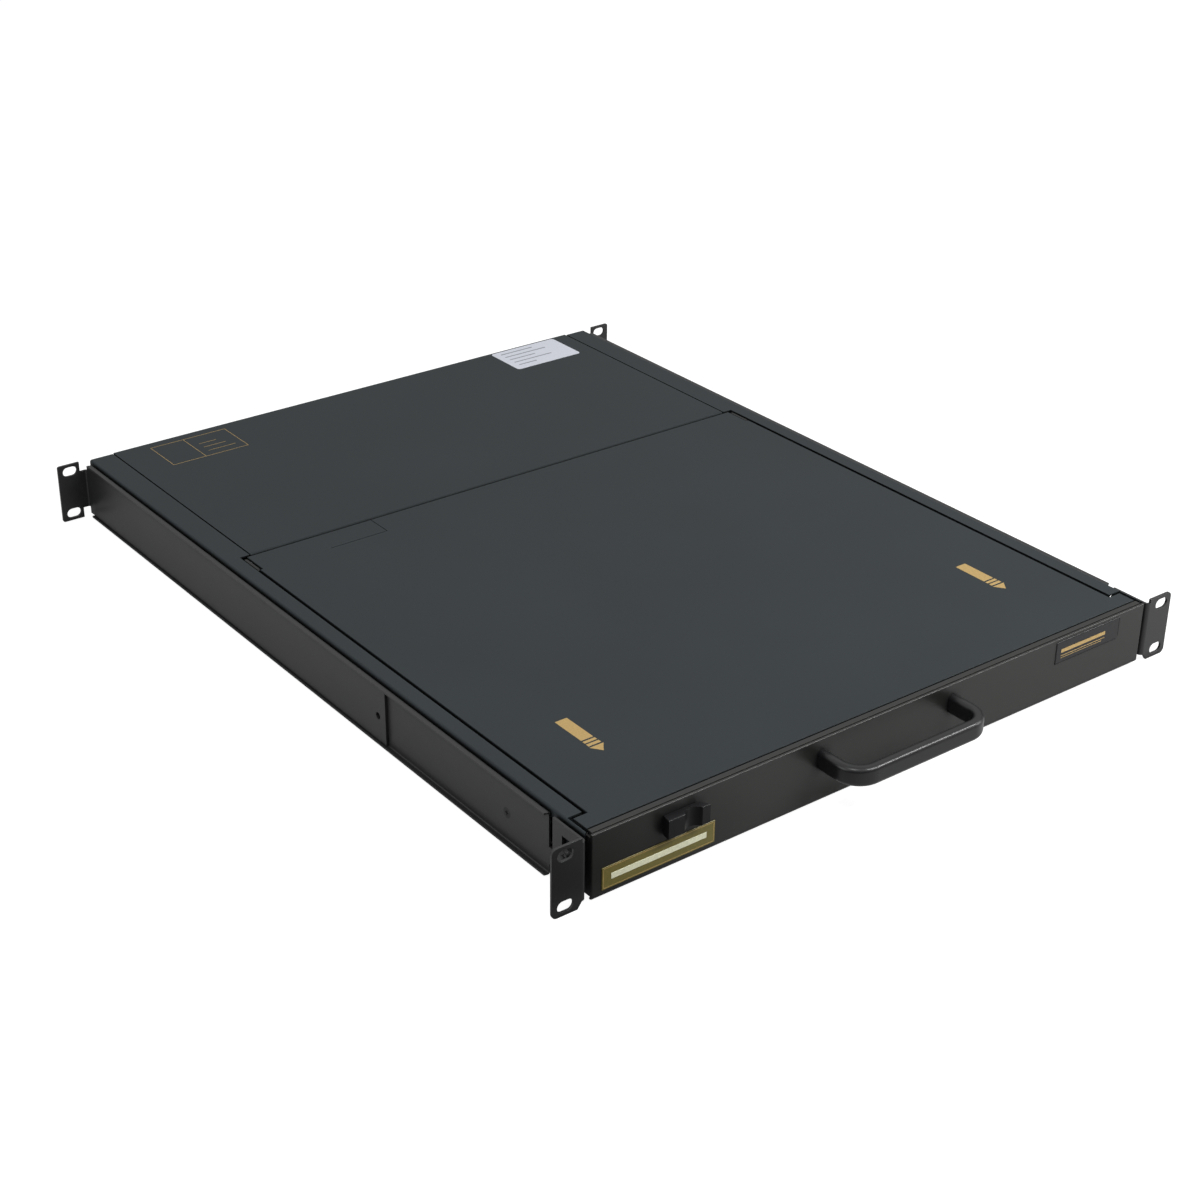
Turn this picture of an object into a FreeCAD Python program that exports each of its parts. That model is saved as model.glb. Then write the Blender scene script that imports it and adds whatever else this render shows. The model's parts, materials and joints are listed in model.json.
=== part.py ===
import FreeCAD, Part
import math
import os
from FreeCAD import Vector

# Rackmount LCD console drawer, one rack unit high.
# Millimetres. X to the right, Y to the rear, Z up. The origin is the centre of the four
# rack slots of the front ears, on the ears' front faces.

# ---------------------------------------------------------------- driving dimensions
# Rack interface: the width stack below adds up to ears 482.6 over all and slots 465.1 apart
rack_pitch_z = 31.75          # between the upper and the lower slot of one ear
slot_width = 6.8
slot_length = 10.5
slot_edge = 8.75              # from the slots' centres to the ear's outer end
ear_reach = 22.5              # from the rail's outer face to the ear's outer end
ear_height = 43.6
ear_sheet = 1.6
ear_corner = 3.5
rear_ear_corner = 1.5
ear_bend = 1.2
ear_side_depth = 28.0         # how far the front ear's side flange runs back
ear_notch = 3.0               # slant of the notch under the front ear's bend
rear_ear_height = 42.4
rear_ear_gap = 0.6            # from the rear panel's front face to the rear ears' front faces
relief = 3.5                  # width of the relief cuts beside the rear ear's bend
rear_neck_half = 13.9         # half height of the bend left between those cuts
bracket_travel = 150.0
bracket_hold = 243.0          # length that stays in the rail at full travel
bracket_clearance = 0.15

# Screen and lid
screen_width = 376.3
screen_height = 301.1
lid_side_margin = 16.25       # from the picture to the lid's side
lid_front_margin = 24.2
lid_rear_margin = 52.6
lid_front_y = 7.1
lid_lip_depth = 11.8
lid_lip_gap = 1.7             # from the lip's end to the front panel's end
lid_thickness = 9.5
lid_sheet = 1.0
lid_notch_depth = 20.5        # rear corner notches that the hinge plates stand in
lid_notch_width = 2.0
lid_edge_round = 0.6
bezel_sheet = 1.5
bezel_overlap = 1.2
bezel_round = 0.8
window_corner = 2.0
module_border_x = 9.0
module_border_y = 8.0
module_thickness = 6.0
module_corner = 1.5
screen_thickness = 0.8
screen_rebate = 1.5           # how far the glass runs under the bezel
screen_play = 0.2

# Menu buttons in the bezel
menu_margin = 19.6            # from the picture to the buttons' centre line
menu_first_x = 96.0
menu_pitch = 18.0
menu_length = 11.0
menu_width = 5.0
menu_clearance = 0.3
menu_proud = 0.8
menu_collar = 1.5
menu_collar_sheet = 1.2

# Width stack, from the lid outwards
lid_side_gap = 2.2
side_sheet = 1.0
slide_depth = 10.0
rail_sheet = 1.2
rail_flange = 3.0             # how far the rail's lips stand out from its web
panel_side_gap = 2.1          # from the rail's inner face to the front panel's end

# Heights
top_z = 21.0                  # upper face of the lid, the strips and the rear cover
top_sheet = 1.0
rail_top_z = 19.2
rail_bottom_z = -20.6
pan_bottom_z = -19.0
pan_sheet = 1.2
pan_lip_top_z = -6.0
rail_bend = 0.8
sheet_bend = 0.6

# Rails and slides
rail_front_y = 33.3
rail_lip_setback = 0.8
rail_rear_gap = 4.8           # from the rail's end to the rear panel
tongue_front_y = 3.0
tongue_half_height = 14.0
tongue_neck_z = -3.0          # top of the neck that joins the tongue to the rail
slide_front_y = 40.0
drawer_travel = 400.0
slide_overlap = 100.0         # how far the slide members still overlap at full travel
slide_half_height = 15.0
slide_sheet = 1.2
ball_space = 2.8              # between two slide members, for the balls and their cage
cage_sheet = 0.8
cage_width = 3.0
cage_margin = 60.0
member_gap = 0.8              # side clearance between two slide members

# Drawer body
strip_overhang = 9.6          # side strip, from the web's outer face outwards
strip_edge_z = 15.6
strip_notch_depth = 20.9      # the strips are cut away beside the lid's front lip
strip_front_y = 4.5
frame_foot = 10.0
frame_tab = 5.6
panel_sheet = 1.5
panel_top_z = 20.9
panel_bottom_z = -20.5
panel_top_flange = 5.9
panel_bottom_flange = 18.0
panel_end_flange = 9.0
panel_bend = 0.7
panel_edge_round = 0.7
panel_seam = 0.8              # groove between the face plate and the top angle behind it
panel_seam_depth = 1.0
corner_play = 0.2
vent_rows = 3
vent_columns = 12
vent_length = 20.0
vent_width = 4.0
vent_pitch_x = 30.0
vent_pitch_y = 40.0
vent_margin = 53.2            # from the rear cover's front edge to the first row

# Handle
handle_centre_x = -3.7
handle_width = 110.0          # over the legs
handle_reach = 32.0           # from the panel's face
handle_thick = 7.2
handle_high = 12.2
handle_centre_z = 8.0
handle_round = 3.0
handle_corner = 17.0          # outer radius of the two bends
handle_screw_d = 4.0
handle_screw_grip = 8.0       # thread length in the handle's leg
handle_screw_head_d = 7.5
handle_screw_head = 2.4

# Latch
latch_travel = 7.0
latch_gap = 0.4
knob_left_x = -168.5
knob_length = 27.5
knob_bottom_z = 3.0
knob_height = 12.0
knob_reach = 6.5
knob_rake = 1.0               # how far the left end leans outwards
knob_ramp = 4.5               # how far the right end slopes in
knob_round = 0.7
knob_scoop_r = 7.0
knob_scoop_depth = 3.6
knob_scoop_offset = 16.0
stem_length = 6.0
stem_height = 5.0
bolt_sheet = 2.0
bolt_y = 14.0                 # front face of the bolt's tip
bolt_height = 4.0
bolt_lid_gap = 0.5
bolt_tip_gap = 3.1            # from the released bolt's tip to the rail
bolt_side_room = 3.6          # beside the bolt in its holes
bolt_room = 1.2               # above and below it
crank_clearance = 1.0         # left at the side web when the bolt is home
clip_width = 6.0
clip_wall = 1.5
clip_offset = 20.0            # from the stem's left side to the first clip
clip_crank_gap = 2.5          # from the crank to the second clip

# Hinge
hinge_from_rear = 5.0
hinge_z = 17.5
hinge_pin_d = 4.0
hinge_running = 0.05
hinge_plate = 2.0
hinge_plate_gap = 1.0         # from the lid's notch to the plate
hinge_plate_inset = 1.5
hinge_plate_rear = 0.6
hinge_plate_round = 1.5
hinge_foot_height = 14.0
hinge_foot_drop = 1.5
hinge_block_length = 11.0
hinge_block_depth = 7.8
hinge_block_round = 1.0

# Cable cover on the lid
cable_cover_x = -131.0
cable_cover_width = 43.0
cable_cover_depth = 19.8
cable_cover_sheet = 0.6
cable_cover_gap = 0.5

# Keyboard deck
deck_top_z = 3.5
deck_sheet = 1.5
deck_front_y = 8.5
deck_wall_gap = 3.0
deck_side_gap = 0.8
deck_hinge_gap = 0.8
key_pitch = 19.05
key_gap = 2.4
key_top_z = 8.0
key_height = 6.0
key_travel = 2.2
key_draft = 2.2
keyboard_rear_gap = 95.0      # from the last row to the lid's rear edge
block_gap = 0.25              # in key pitches, between the letters and the number pad
stem_side = 4.0
stem_drop = 6.0
stem_clearance = 0.25
key_base_gap = 2.4            # left under a pressed key
key_base_height = 8.0
key_base_floor = 1.2
key_base_rib = 12.0
window_margin = 2.2
window_play = 0.6
pad_width = 66.0
pad_depth = 50.0
pad_gap = 66.7                # from the pad to the first key row
pad_corner = 3.0
pad_thickness = 2.4
pad_recess = 0.6
pad_rim = 5.0
pad_post = 24.0
click_depth = 13.0
click_gap = 1.0               # between the two buttons
click_web = 3.0               # deck left between the pad and the buttons
click_travel = 0.8
click_clearance = 0.4
click_corner = 2.0
click_floor = 1.0
click_proud = 0.6
bumper_d = 8.0
bumper_gap = 0.3
bumper_inset = 8.2
bumper_margin = 22.7

# Rear compartment
bay_depth = 196.0
cover_gap = 1.8               # from the lid to the rear cover
cover_inset = 8.1             # the side frames' tops run in this far beside the rear cover
cover_seam = 1.1
cover_fold = 6.0
ledge_width = 14.0
ledge_sheet = 1.2
cover_screw_inset = 7.5
cover_screw_front = 24.2
cover_screw_rear = 4.8
cover_screw_head_d = 5.0
cover_screw_d = 2.6
cover_screw_sink = 0.1
cover_screw_length = 5.0
wall_setback = 4.2
wall_flange = 10.0
wall_end_gap = 12.0
cable_way_width = 30.0
cable_way_bottom_z = 2.0
cable_way_height = 12.0
rear_panel_sheet = 1.2

# Rear connectors
inlet_x = -160.0
inlet_z = 0.0
inlet_width = 27.0
inlet_height = 20.0
inlet_cavity_w = 24.0
inlet_cavity_h = 16.4
inlet_depth = 15.0
inlet_key = 4.0
inlet_rim = 2.5
blade_length = 12.0
blade_width = 2.0
blade_height = 4.0
blade_spread = 7.0
flange_sheet = 2.0
housing_depth = 19.0
switch_x = -122.0
switch_width = 13.0
switch_height = 19.0
switch_wall = 1.2
switch_play = 0.4
switch_setback = 2.0          # from the rear panel to the rocker's pivot
trunnion_d = 2.4
trunnion_length = 0.8
port_z = -6.0
video_x = 40.0
video_reach = 5.8
video_shell_w = 16.4
video_shell_h = 8.0
video_slope = 1.2
video_flange_w = 30.8
video_flange_h = 12.4
video_flange_sheet = 0.8
video_post_spread = 12.5
video_post = 4.8              # across the flats
video_post_length = 5.0
video_wall = 0.5
usb_first_x = 85.0
usb_pitch = 20.0
usb_side = 12.0
usb_wall = 1.6
usb_depth = 8.5

# Circuit boards
board_sheet = 1.6
board_standoff = 6.0
standoff_flats = 5.5
standoff_inset = 6.0
sink_x = 12.0                 # heat sink, from the supply board's front left corner
sink_y = 58.0
sink_back = 3.0
sink_height = 18.0
fin_pitch = 4.0
fin_sheet = 1.5
fin_length = 37.0
supply_side_gap = 16.6        # from the side web to the supply board
supply_width = 120.0
supply_depth = 125.0
supply_margin = 29.0          # from the partition wall to the board
board_gap = 30.0              # between the two boards
main_width = 210.0
main_depth = 145.0
main_margin = 34.0

# Screws in the rails
rail_screw_d = 3.6
rail_screw_head_d = 7.0
rail_screw_z = -2.0
rail_screw_front = 32.0       # from the slide's front end
rail_screw_rear = 40.0        # from the slide's rear end
ear_screw_d = 4.0
ear_screw_head_d = 8.0
ear_screw_head = 1.8
ear_screw_y = 16.0
ear_screw_zs = (1.8, -10.5)
bracket_hole_d = 4.5
bracket_hole_margin = 8.0

# ---------------------------------------------------------------- derived positions
lid_half = screen_width / 2 + lid_side_margin
screen_front_y = lid_front_y + lid_front_margin
screen_rear_y = screen_front_y + screen_height
lid_rear_y = screen_rear_y + lid_rear_margin
lid_bottom_z = top_z - lid_thickness
lid_wall_top = top_z - lid_sheet
bezel_top_z = lid_bottom_z + bezel_sheet
notch_x = lid_half - lid_notch_width
notch_y = lid_rear_y - lid_notch_depth
menu_y = screen_rear_y + menu_margin
menu_xs = [menu_first_x + i * menu_pitch for i in range(3)]

web_inner_x = lid_half + lid_side_gap
web_outer_x = web_inner_x + side_sheet
rail_inner_x = web_outer_x + slide_depth
rail_outer_x = rail_inner_x + rail_sheet
rail_edge_x = rail_outer_x + rail_flange
strip_edge_x = web_outer_x + strip_overhang
panel_half = rail_inner_x - panel_side_gap
lid_lip_half = panel_half - lid_lip_gap
ear_half = rail_outer_x + ear_reach
slot_x = ear_half - slot_edge
slot_z = rack_pitch_z / 2

cover_front_y = lid_rear_y + cover_gap
wall_y = cover_front_y + wall_setback
rear_panel_y = cover_front_y + bay_depth
rear_face_y = rear_panel_y + rear_panel_sheet
rear_ear_face_y = rear_panel_y + rear_ear_gap
rail_rear_y = rear_panel_y - rail_rear_gap
bracket_length = bracket_hold + bracket_travel
slide_length = drawer_travel + slide_overlap
slide_rear_y = slide_front_y + slide_length
rail_screw_ys = (slide_front_y + rail_screw_front, slide_rear_y - rail_screw_rear)

pan_top_z = pan_bottom_z + pan_sheet
deck_under_z = deck_top_z - deck_sheet
deck_rear_y = wall_y - deck_wall_gap
cover_half = web_inner_x - cover_inset
cover_screw_x = cover_half - cover_screw_inset
cover_screw_ys = (cover_front_y + cover_screw_front, rear_panel_y - cover_screw_rear)
hinge_y = lid_rear_y - hinge_from_rear
hinge_plate_x = notch_x + hinge_plate_gap
hinge_plate_front_y = notch_y + hinge_plate_inset

middle_half_height = slide_half_height - slide_sheet - ball_space
inner_half_height = middle_half_height - slide_sheet - ball_space
middle_back_x = rail_inner_x - slide_sheet - member_gap
inner_depth = middle_back_x - slide_sheet - member_gap - web_outer_x
middle_depth = middle_back_x - web_outer_x - slide_sheet - member_gap

handle_leg_xs = [handle_centre_x + side * (handle_width - handle_thick) / 2 for side in (-1, 1)]
knob_right_x = knob_left_x + knob_length
stem_left_x = knob_left_x + (knob_length - stem_length) / 2
stem_bottom_z = knob_bottom_z + (knob_height - stem_height) / 2
bolt_top_z = lid_bottom_z - bolt_lid_gap
bolt_bottom_z = bolt_top_z - bolt_height
bolt_tip_x = bolt_tip_gap - rail_inner_x
crank_x = latch_travel + crank_clearance - web_inner_x

usb_xs = [usb_first_x + i * usb_pitch for i in range(2)]
supply_x = supply_side_gap - web_inner_x
main_x = supply_x + supply_width + board_gap

# Keys of each row in key pitches, the letters first and the number pad second
key_rows = (
    ((1,) * 15, (1,) * 4),
    ((1,) * 13 + (2,), (1,) * 4),
    ((1.5,) + (1,) * 12 + (1.5,), (1,) * 4),
    ((1.75,) + (1,) * 11 + (2.25,), (1,) * 4),
    ((2.25,) + (1,) * 10 + (2.75,), (1,) * 4),
    ((1.25,) * 3 + (6.25,) + (1.25,) * 4, (2, 1, 1)),
)
letters_span = sum(key_rows[0][0])
number_span = sum(key_rows[0][1])
keyboard_half = (letters_span + block_gap + number_span) * key_pitch / 2
keyboard_rear_y = lid_rear_y - keyboard_rear_gap
keyboard_front_y = keyboard_rear_y - len(key_rows) * key_pitch
key_under_z = key_top_z - key_height
key_base_top_z = key_under_z - key_travel - key_base_gap
key_base_under_z = key_base_top_z - key_base_height
pad_rear_y = keyboard_front_y - pad_gap
pad_front_y = pad_rear_y - pad_depth
click_rear_y = pad_front_y - click_web
click_front_y = click_rear_y - click_depth


# ---------------------------------------------------------------- modelling helpers
def box(x0, x1, y0, y1, z0, z1):
    """Block between two corners, given in any order."""
    low = Vector(min(x0, x1), min(y0, y1), min(z0, z1))
    return Part.makeBox(abs(x1 - x0), abs(y1 - y0), abs(z1 - z0), low)


def rod(centre, direction, diameter, length):
    """Cylinder that starts at centre and runs along direction."""
    return Part.makeCylinder(diameter / 2, length, Vector(*centre), Vector(*direction))


def in_plane(axis, level, u, v):
    """Point of the plane across axis: X takes (y, z), Y takes (x, z), Z takes (x, y)."""
    if axis == "X":
        return Vector(level, u, v)
    if axis == "Y":
        return Vector(u, level, v)
    return Vector(u, v, level)


def along(axis, length):
    return Vector(*[length if name == axis else 0.0 for name in "XYZ"])


def extrude(wire, axis, length):
    return Part.Face(wire).extrude(along(axis, length))


def polygon(axis, level, points):
    corners = [in_plane(axis, level, u, v) for u, v in points]
    return Part.makePolygon(corners + corners[:1])


def prism(axis, start, end, points):
    """Straight-sided solid with the given outline, between two levels of axis."""
    return extrude(polygon(axis, start, points), axis, end - start)


def rounded_run(points, radii):
    """Edges through the points, each inner corner turned into a tangent arc."""
    edges = []
    start = points[0]
    for before, corner, after, radius in zip(points, points[1:], points[2:], radii):
        back = (before - corner).normalize()
        ahead = (after - corner).normalize()
        half = back.getAngle(ahead) / 2
        run = radius / math.tan(half)
        middle_way = (back + ahead).normalize()
        entry = corner + back * run
        middle = corner + middle_way * (radius / math.sin(half) - radius)
        leave = corner + ahead * run
        edges.append(Part.LineSegment(start, entry).toShape())
        edges.append(Part.Arc(entry, middle, leave).toShape())
        start = leave
    edges.append(Part.LineSegment(start, points[-1]).toShape())
    return edges


def bent_sheet(axis, start, end, points, sheet, bend):
    """Folded sheet: the points run along one face, and the sheet lies to their left."""
    pairs = list(zip(points, points[1:]))
    ways = []
    for (u0, v0), (u1, v1) in pairs:
        run = math.hypot(u1 - u0, v1 - v0)
        ways.append(((u1 - u0) / run, (v1 - v0) / run))
    lefts = [(-v, u) for u, v in ways]
    other = [(points[0][0] + lefts[0][0] * sheet, points[0][1] + lefts[0][1] * sheet)]
    near_radii = []
    far_radii = []
    for i in range(1, len(points) - 1):
        (a0, a1), (b0, b1) = lefts[i - 1], lefts[i]
        share = sheet / (1 + a0 * b0 + a1 * b1)
        other.append((points[i][0] + (a0 + b0) * share, points[i][1] + (a1 + b1) * share))
        turns_left = ways[i - 1][0] * ways[i][1] - ways[i - 1][1] * ways[i][0] > 0
        near_radii.append(bend + sheet if turns_left else bend)
        far_radii.append(bend if turns_left else bend + sheet)
    other.append((points[-1][0] + lefts[-1][0] * sheet, points[-1][1] + lefts[-1][1] * sheet))
    near = [in_plane(axis, start, u, v) for u, v in points]
    far = [in_plane(axis, start, u, v) for u, v in reversed(other)]
    edges = rounded_run(near, near_radii)
    edges.append(Part.LineSegment(near[-1], far[0]).toShape())
    edges += rounded_run(far, list(reversed(far_radii)))
    edges.append(Part.LineSegment(far[-1], near[0]).toShape())
    return extrude(Part.Wire(edges), axis, end - start)


def edges_along(shape, axis, keep=lambda middle: True):
    """Straight edges parallel to axis whose middle point passes the test."""
    found = []
    for edge in shape.Edges:
        ends = [vertex.Point for vertex in edge.Vertexes]
        if len(ends) != 2 or abs(edge.Length - (ends[1] - ends[0]).Length) > 1e-6:
            continue
        way = (ends[1] - ends[0]).normalize()
        if abs(getattr(way, axis.lower())) > 0.9999 and keep((ends[0] + ends[1]) * 0.5):
            found.append(edge)
    return found


def frustum(low, high):
    """Solid between two polygons that have the same number of corners and flat sides between them."""
    sides = [Part.Face(Part.makePolygon([low[i - 1], low[i], high[i], high[i - 1], low[i - 1]]))
             for i in range(len(low))]
    ends = [Part.Face(Part.makePolygon(ring + ring[:1])) for ring in (low, high)]
    return Part.makeSolid(Part.makeShell(sides + ends))


def slot(axis, start, end, centre, length, width):
    """Round-ended slot that runs along the plane's first direction."""
    u, v = centre
    half = (length - width) / 2
    r = width / 2
    top = Part.LineSegment(in_plane(axis, start, u - half, v + r), in_plane(axis, start, u + half, v + r))
    right = Part.Arc(in_plane(axis, start, u + half, v + r), in_plane(axis, start, u + half + r, v),
                     in_plane(axis, start, u + half, v - r))
    low = Part.LineSegment(in_plane(axis, start, u + half, v - r), in_plane(axis, start, u - half, v - r))
    left = Part.Arc(in_plane(axis, start, u - half, v - r), in_plane(axis, start, u - half - r, v),
                    in_plane(axis, start, u - half, v + r))
    wire = Part.Wire([piece.toShape() for piece in (top, right, low, left)])
    return extrude(wire, axis, end - start)


def rounded_block(axis, start, end, u0, u1, v0, v1, radius):
    """Block with its four edges along axis rounded."""
    points = [(u0, v0), (u1, v0), (u1, v1), (u0, v1)]
    solid = prism(axis, start, end, points)
    return solid.makeFillet(radius, edges_along(solid, axis))


def countersunk(centre, direction, head_d, shank_d, head, length):
    """Screw with a flat conical head: the head's flat face is at centre."""
    base = Vector(*centre)
    way = Vector(*direction)
    cone = Part.makeCone(head_d / 2, shank_d / 2, head, base, way)
    return cone.fuse(Part.makeCylinder(shank_d / 2, length, base, way)).removeSplitter()


def headed(centre, direction, head_d, shank_d, head, length):
    """Rivet or screw with a flat round head on one side of centre and its shank on the other."""
    base = Vector(*centre)
    way = Vector(*direction)
    cap = Part.makeCone(head_d / 2, head_d / 2 - head / 2, head, base, way * -1)
    return cap.fuse(Part.makeCylinder(shank_d / 2, length, base, way)).removeSplitter()


def mirrored(shape):
    return shape.mirror(Vector(0, 0, 0), Vector(1, 0, 0))


parts = {}


def add(name, *solids):
    parts[name] = solids[0] if len(solids) == 1 else Part.makeCompound(list(solids))


def add_pair(name, right):
    """One piece for each side: modelled on the right and mirrored to the left."""
    add(name + "_right", right)
    add(name + "_left", mirrored(right))


# ---------------------------------------------------------------- fixed rails
def rack_slots(y):
    cuts = [slot("Y", y - 1, y + ear_sheet + 1, (slot_x, z), slot_length, slot_width)
            for z in (slot_z, -slot_z)]
    return Part.makeCompound(cuts)


def round_ear(shape, half_height, radius):
    """Round the two outer corners of an ear."""
    corners = edges_along(shape, "Y", lambda p: p.x > ear_half - 1 and abs(p.z) > half_height - 1)
    return shape.makeFillet(radius, corners)


def bolt_hole(x0, x1):
    """Opening for the latch bolt's tip, in a sheet between x0 and x1."""
    return box(x0, x1, bolt_y - bolt_side_room, bolt_y + bolt_sheet + bolt_side_room,
               bolt_bottom_z - bolt_room, bolt_top_z + bolt_room)


def ear_screw_holes(x0, x1):
    return [rod((x0, ear_screw_y, z), (1, 0, 0), ear_screw_d, x1 - x0) for z in ear_screw_zs]


def slide_screw(y, length):
    """Countersunk screw that holds the slide's outer member to the rail."""
    return countersunk((rail_outer_x, y, rail_screw_z), (-1, 0, 0), rail_screw_head_d,
                       rail_screw_d, rail_sheet, length)


def rail():
    """Channel with its lips outwards, and a narrower tongue under the front ear."""
    outline = [(rail_edge_x, rail_top_z), (rail_inner_x, rail_top_z),
               (rail_inner_x, rail_bottom_z), (rail_edge_x, rail_bottom_z)]
    channel = bent_sheet("Y", rail_front_y, rail_rear_y, outline, rail_sheet, rail_bend)
    lip_x = rail_outer_x + rail_bend
    slant = [(lip_x, rail_front_y - 1), (rail_edge_x + 1, rail_front_y - 1),
             (rail_edge_x + 1, rail_front_y + rail_lip_setback), (lip_x, rail_front_y)]
    for edge_z, near_z in ((rail_top_z, rail_top_z - 2 * rail_sheet),
                           (rail_bottom_z, rail_bottom_z + 2 * rail_sheet)):
        channel = channel.cut(prism("Z", min(edge_z, near_z) - 1, max(edge_z, near_z) + 1, slant))
    tongue = box(rail_inner_x, rail_outer_x, tongue_front_y, ear_side_depth,
                 -tongue_half_height, tongue_half_height)
    neck = box(rail_inner_x, rail_outer_x, ear_side_depth, rail_front_y, -tongue_half_height, tongue_neck_z)
    body = channel.fuse([tongue, neck]).removeSplitter()
    holes = ear_screw_holes(rail_inner_x - 1, rail_outer_x + 1)
    holes += [slide_screw(y, rail_sheet + 1) for y in rail_screw_ys]
    holes.append(bolt_hole(rail_inner_x - 1, rail_outer_x + 1))
    return body.cut(Part.makeCompound(holes))


def front_ear():
    """Angle with the rack slots, riveted over the rail's tongue."""
    inner = rail_outer_x
    outer = inner + ear_sheet
    outline = [(inner, ear_side_depth), (inner, 0.0), (ear_half, 0.0)]
    shape = bent_sheet("Z", -ear_height / 2, ear_height / 2, outline, ear_sheet, ear_bend)
    clear_x = outer + ear_bend
    top_notch = box(inner - 1, clear_x, -1, ear_side_depth + 1, rail_top_z, ear_height)
    low_z = rail_bottom_z + ear_notch
    low_notch = prism("Y", -1, ear_side_depth + 1,
                      [(inner - 1, low_z), (clear_x, low_z), (clear_x + ear_notch, -ear_height / 2),
                       (clear_x + ear_notch, -ear_height), (inner - 1, -ear_height)])
    shape = round_ear(shape.cut(top_notch).cut(low_notch), ear_height / 2, ear_corner)
    cuts = ear_screw_holes(inner - 1, outer + 1) + [rack_slots(0.0), bolt_hole(inner - 1, outer + 1)]
    return shape.cut(Part.makeCompound(cuts))


def rear_bracket():
    """Adjustable angle that slides between the rail's lips and ends in the rear ear."""
    inner = rail_outer_x + bracket_clearance
    back = rear_ear_face_y + ear_sheet
    front = back - bracket_length
    outline = [(ear_half, back), (inner, back), (inner, front)]
    shape = bent_sheet("Z", -rear_ear_height / 2, rear_ear_height / 2, outline, ear_sheet, ear_bend)
    relief_x = inner + ear_sheet + ear_bend + relief
    lip_room = rail_sheet + 4 * bracket_clearance
    bend_y = back - ear_sheet - ear_bend
    for near, far in ((rail_top_z - lip_room, rear_ear_height),
                      (rail_bottom_z + lip_room, -rear_ear_height)):
        shape = shape.cut(box(inner - 1, relief_x, front - 1, back + 1, near, far))
        neck_z = math.copysign(rear_neck_half, far)
        shape = shape.cut(box(inner - 1, relief_x, bend_y, back + 1, neck_z, far))
    shape = round_ear(shape, rear_ear_height / 2, rear_ear_corner)
    fixing = rod((inner - 1, front + bracket_hole_margin, rail_screw_z), (1, 0, 0), bracket_hole_d,
                 ear_sheet + 2)
    return shape.cut(fixing).cut(rack_slots(rear_ear_face_y))


def rail_screws():
    """Screws into the slides, and rivets through ear and tongue, for one side."""
    screws = [slide_screw(y, rail_sheet + slide_sheet) for y in rail_screw_ys]
    screws += [headed((rail_outer_x + ear_sheet, ear_screw_y, z), (-1, 0, 0), ear_screw_head_d,
                      ear_screw_d, ear_screw_head, ear_sheet + rail_sheet) for z in ear_screw_zs]
    return screws


# ---------------------------------------------------------------- ball slides
def slide_member(back_x, way, depth, half_height):
    """Channel whose back face stands at back_x and whose lips run along way."""
    tip = back_x + way * depth
    points = [(tip, half_height), (back_x, half_height), (back_x, -half_height), (tip, -half_height)]
    if way < 0:
        points.reverse()
    return bent_sheet("Y", slide_front_y, slide_rear_y, points, slide_sheet, rail_bend)


def outer_slide():
    member = slide_member(rail_inner_x, -1, slide_depth - member_gap, slide_half_height)
    holes = [rod((rail_inner_x + 1, y, rail_screw_z), (-1, 0, 0), rail_screw_d, slide_sheet + 2)
             for y in rail_screw_ys]
    return member.cut(Part.makeCompound(holes))


def middle_slide():
    return slide_member(middle_back_x, -1, middle_depth, middle_half_height)


def inner_slide():
    return slide_member(web_outer_x, 1, inner_depth, inner_half_height)


def ball_cages():
    """Strips that carry the balls, above and below the two moving members."""
    near_x = web_outer_x + slide_sheet + member_gap
    cages = []
    for half_height in (middle_half_height, inner_half_height):
        low = half_height + (ball_space - cage_sheet) / 2
        for side in (1, -1):
            cages.append(box(near_x, near_x + cage_width, slide_front_y + cage_margin,
                             slide_rear_y - cage_margin, side * low, side * (low + cage_sheet)))
    return cages


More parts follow.
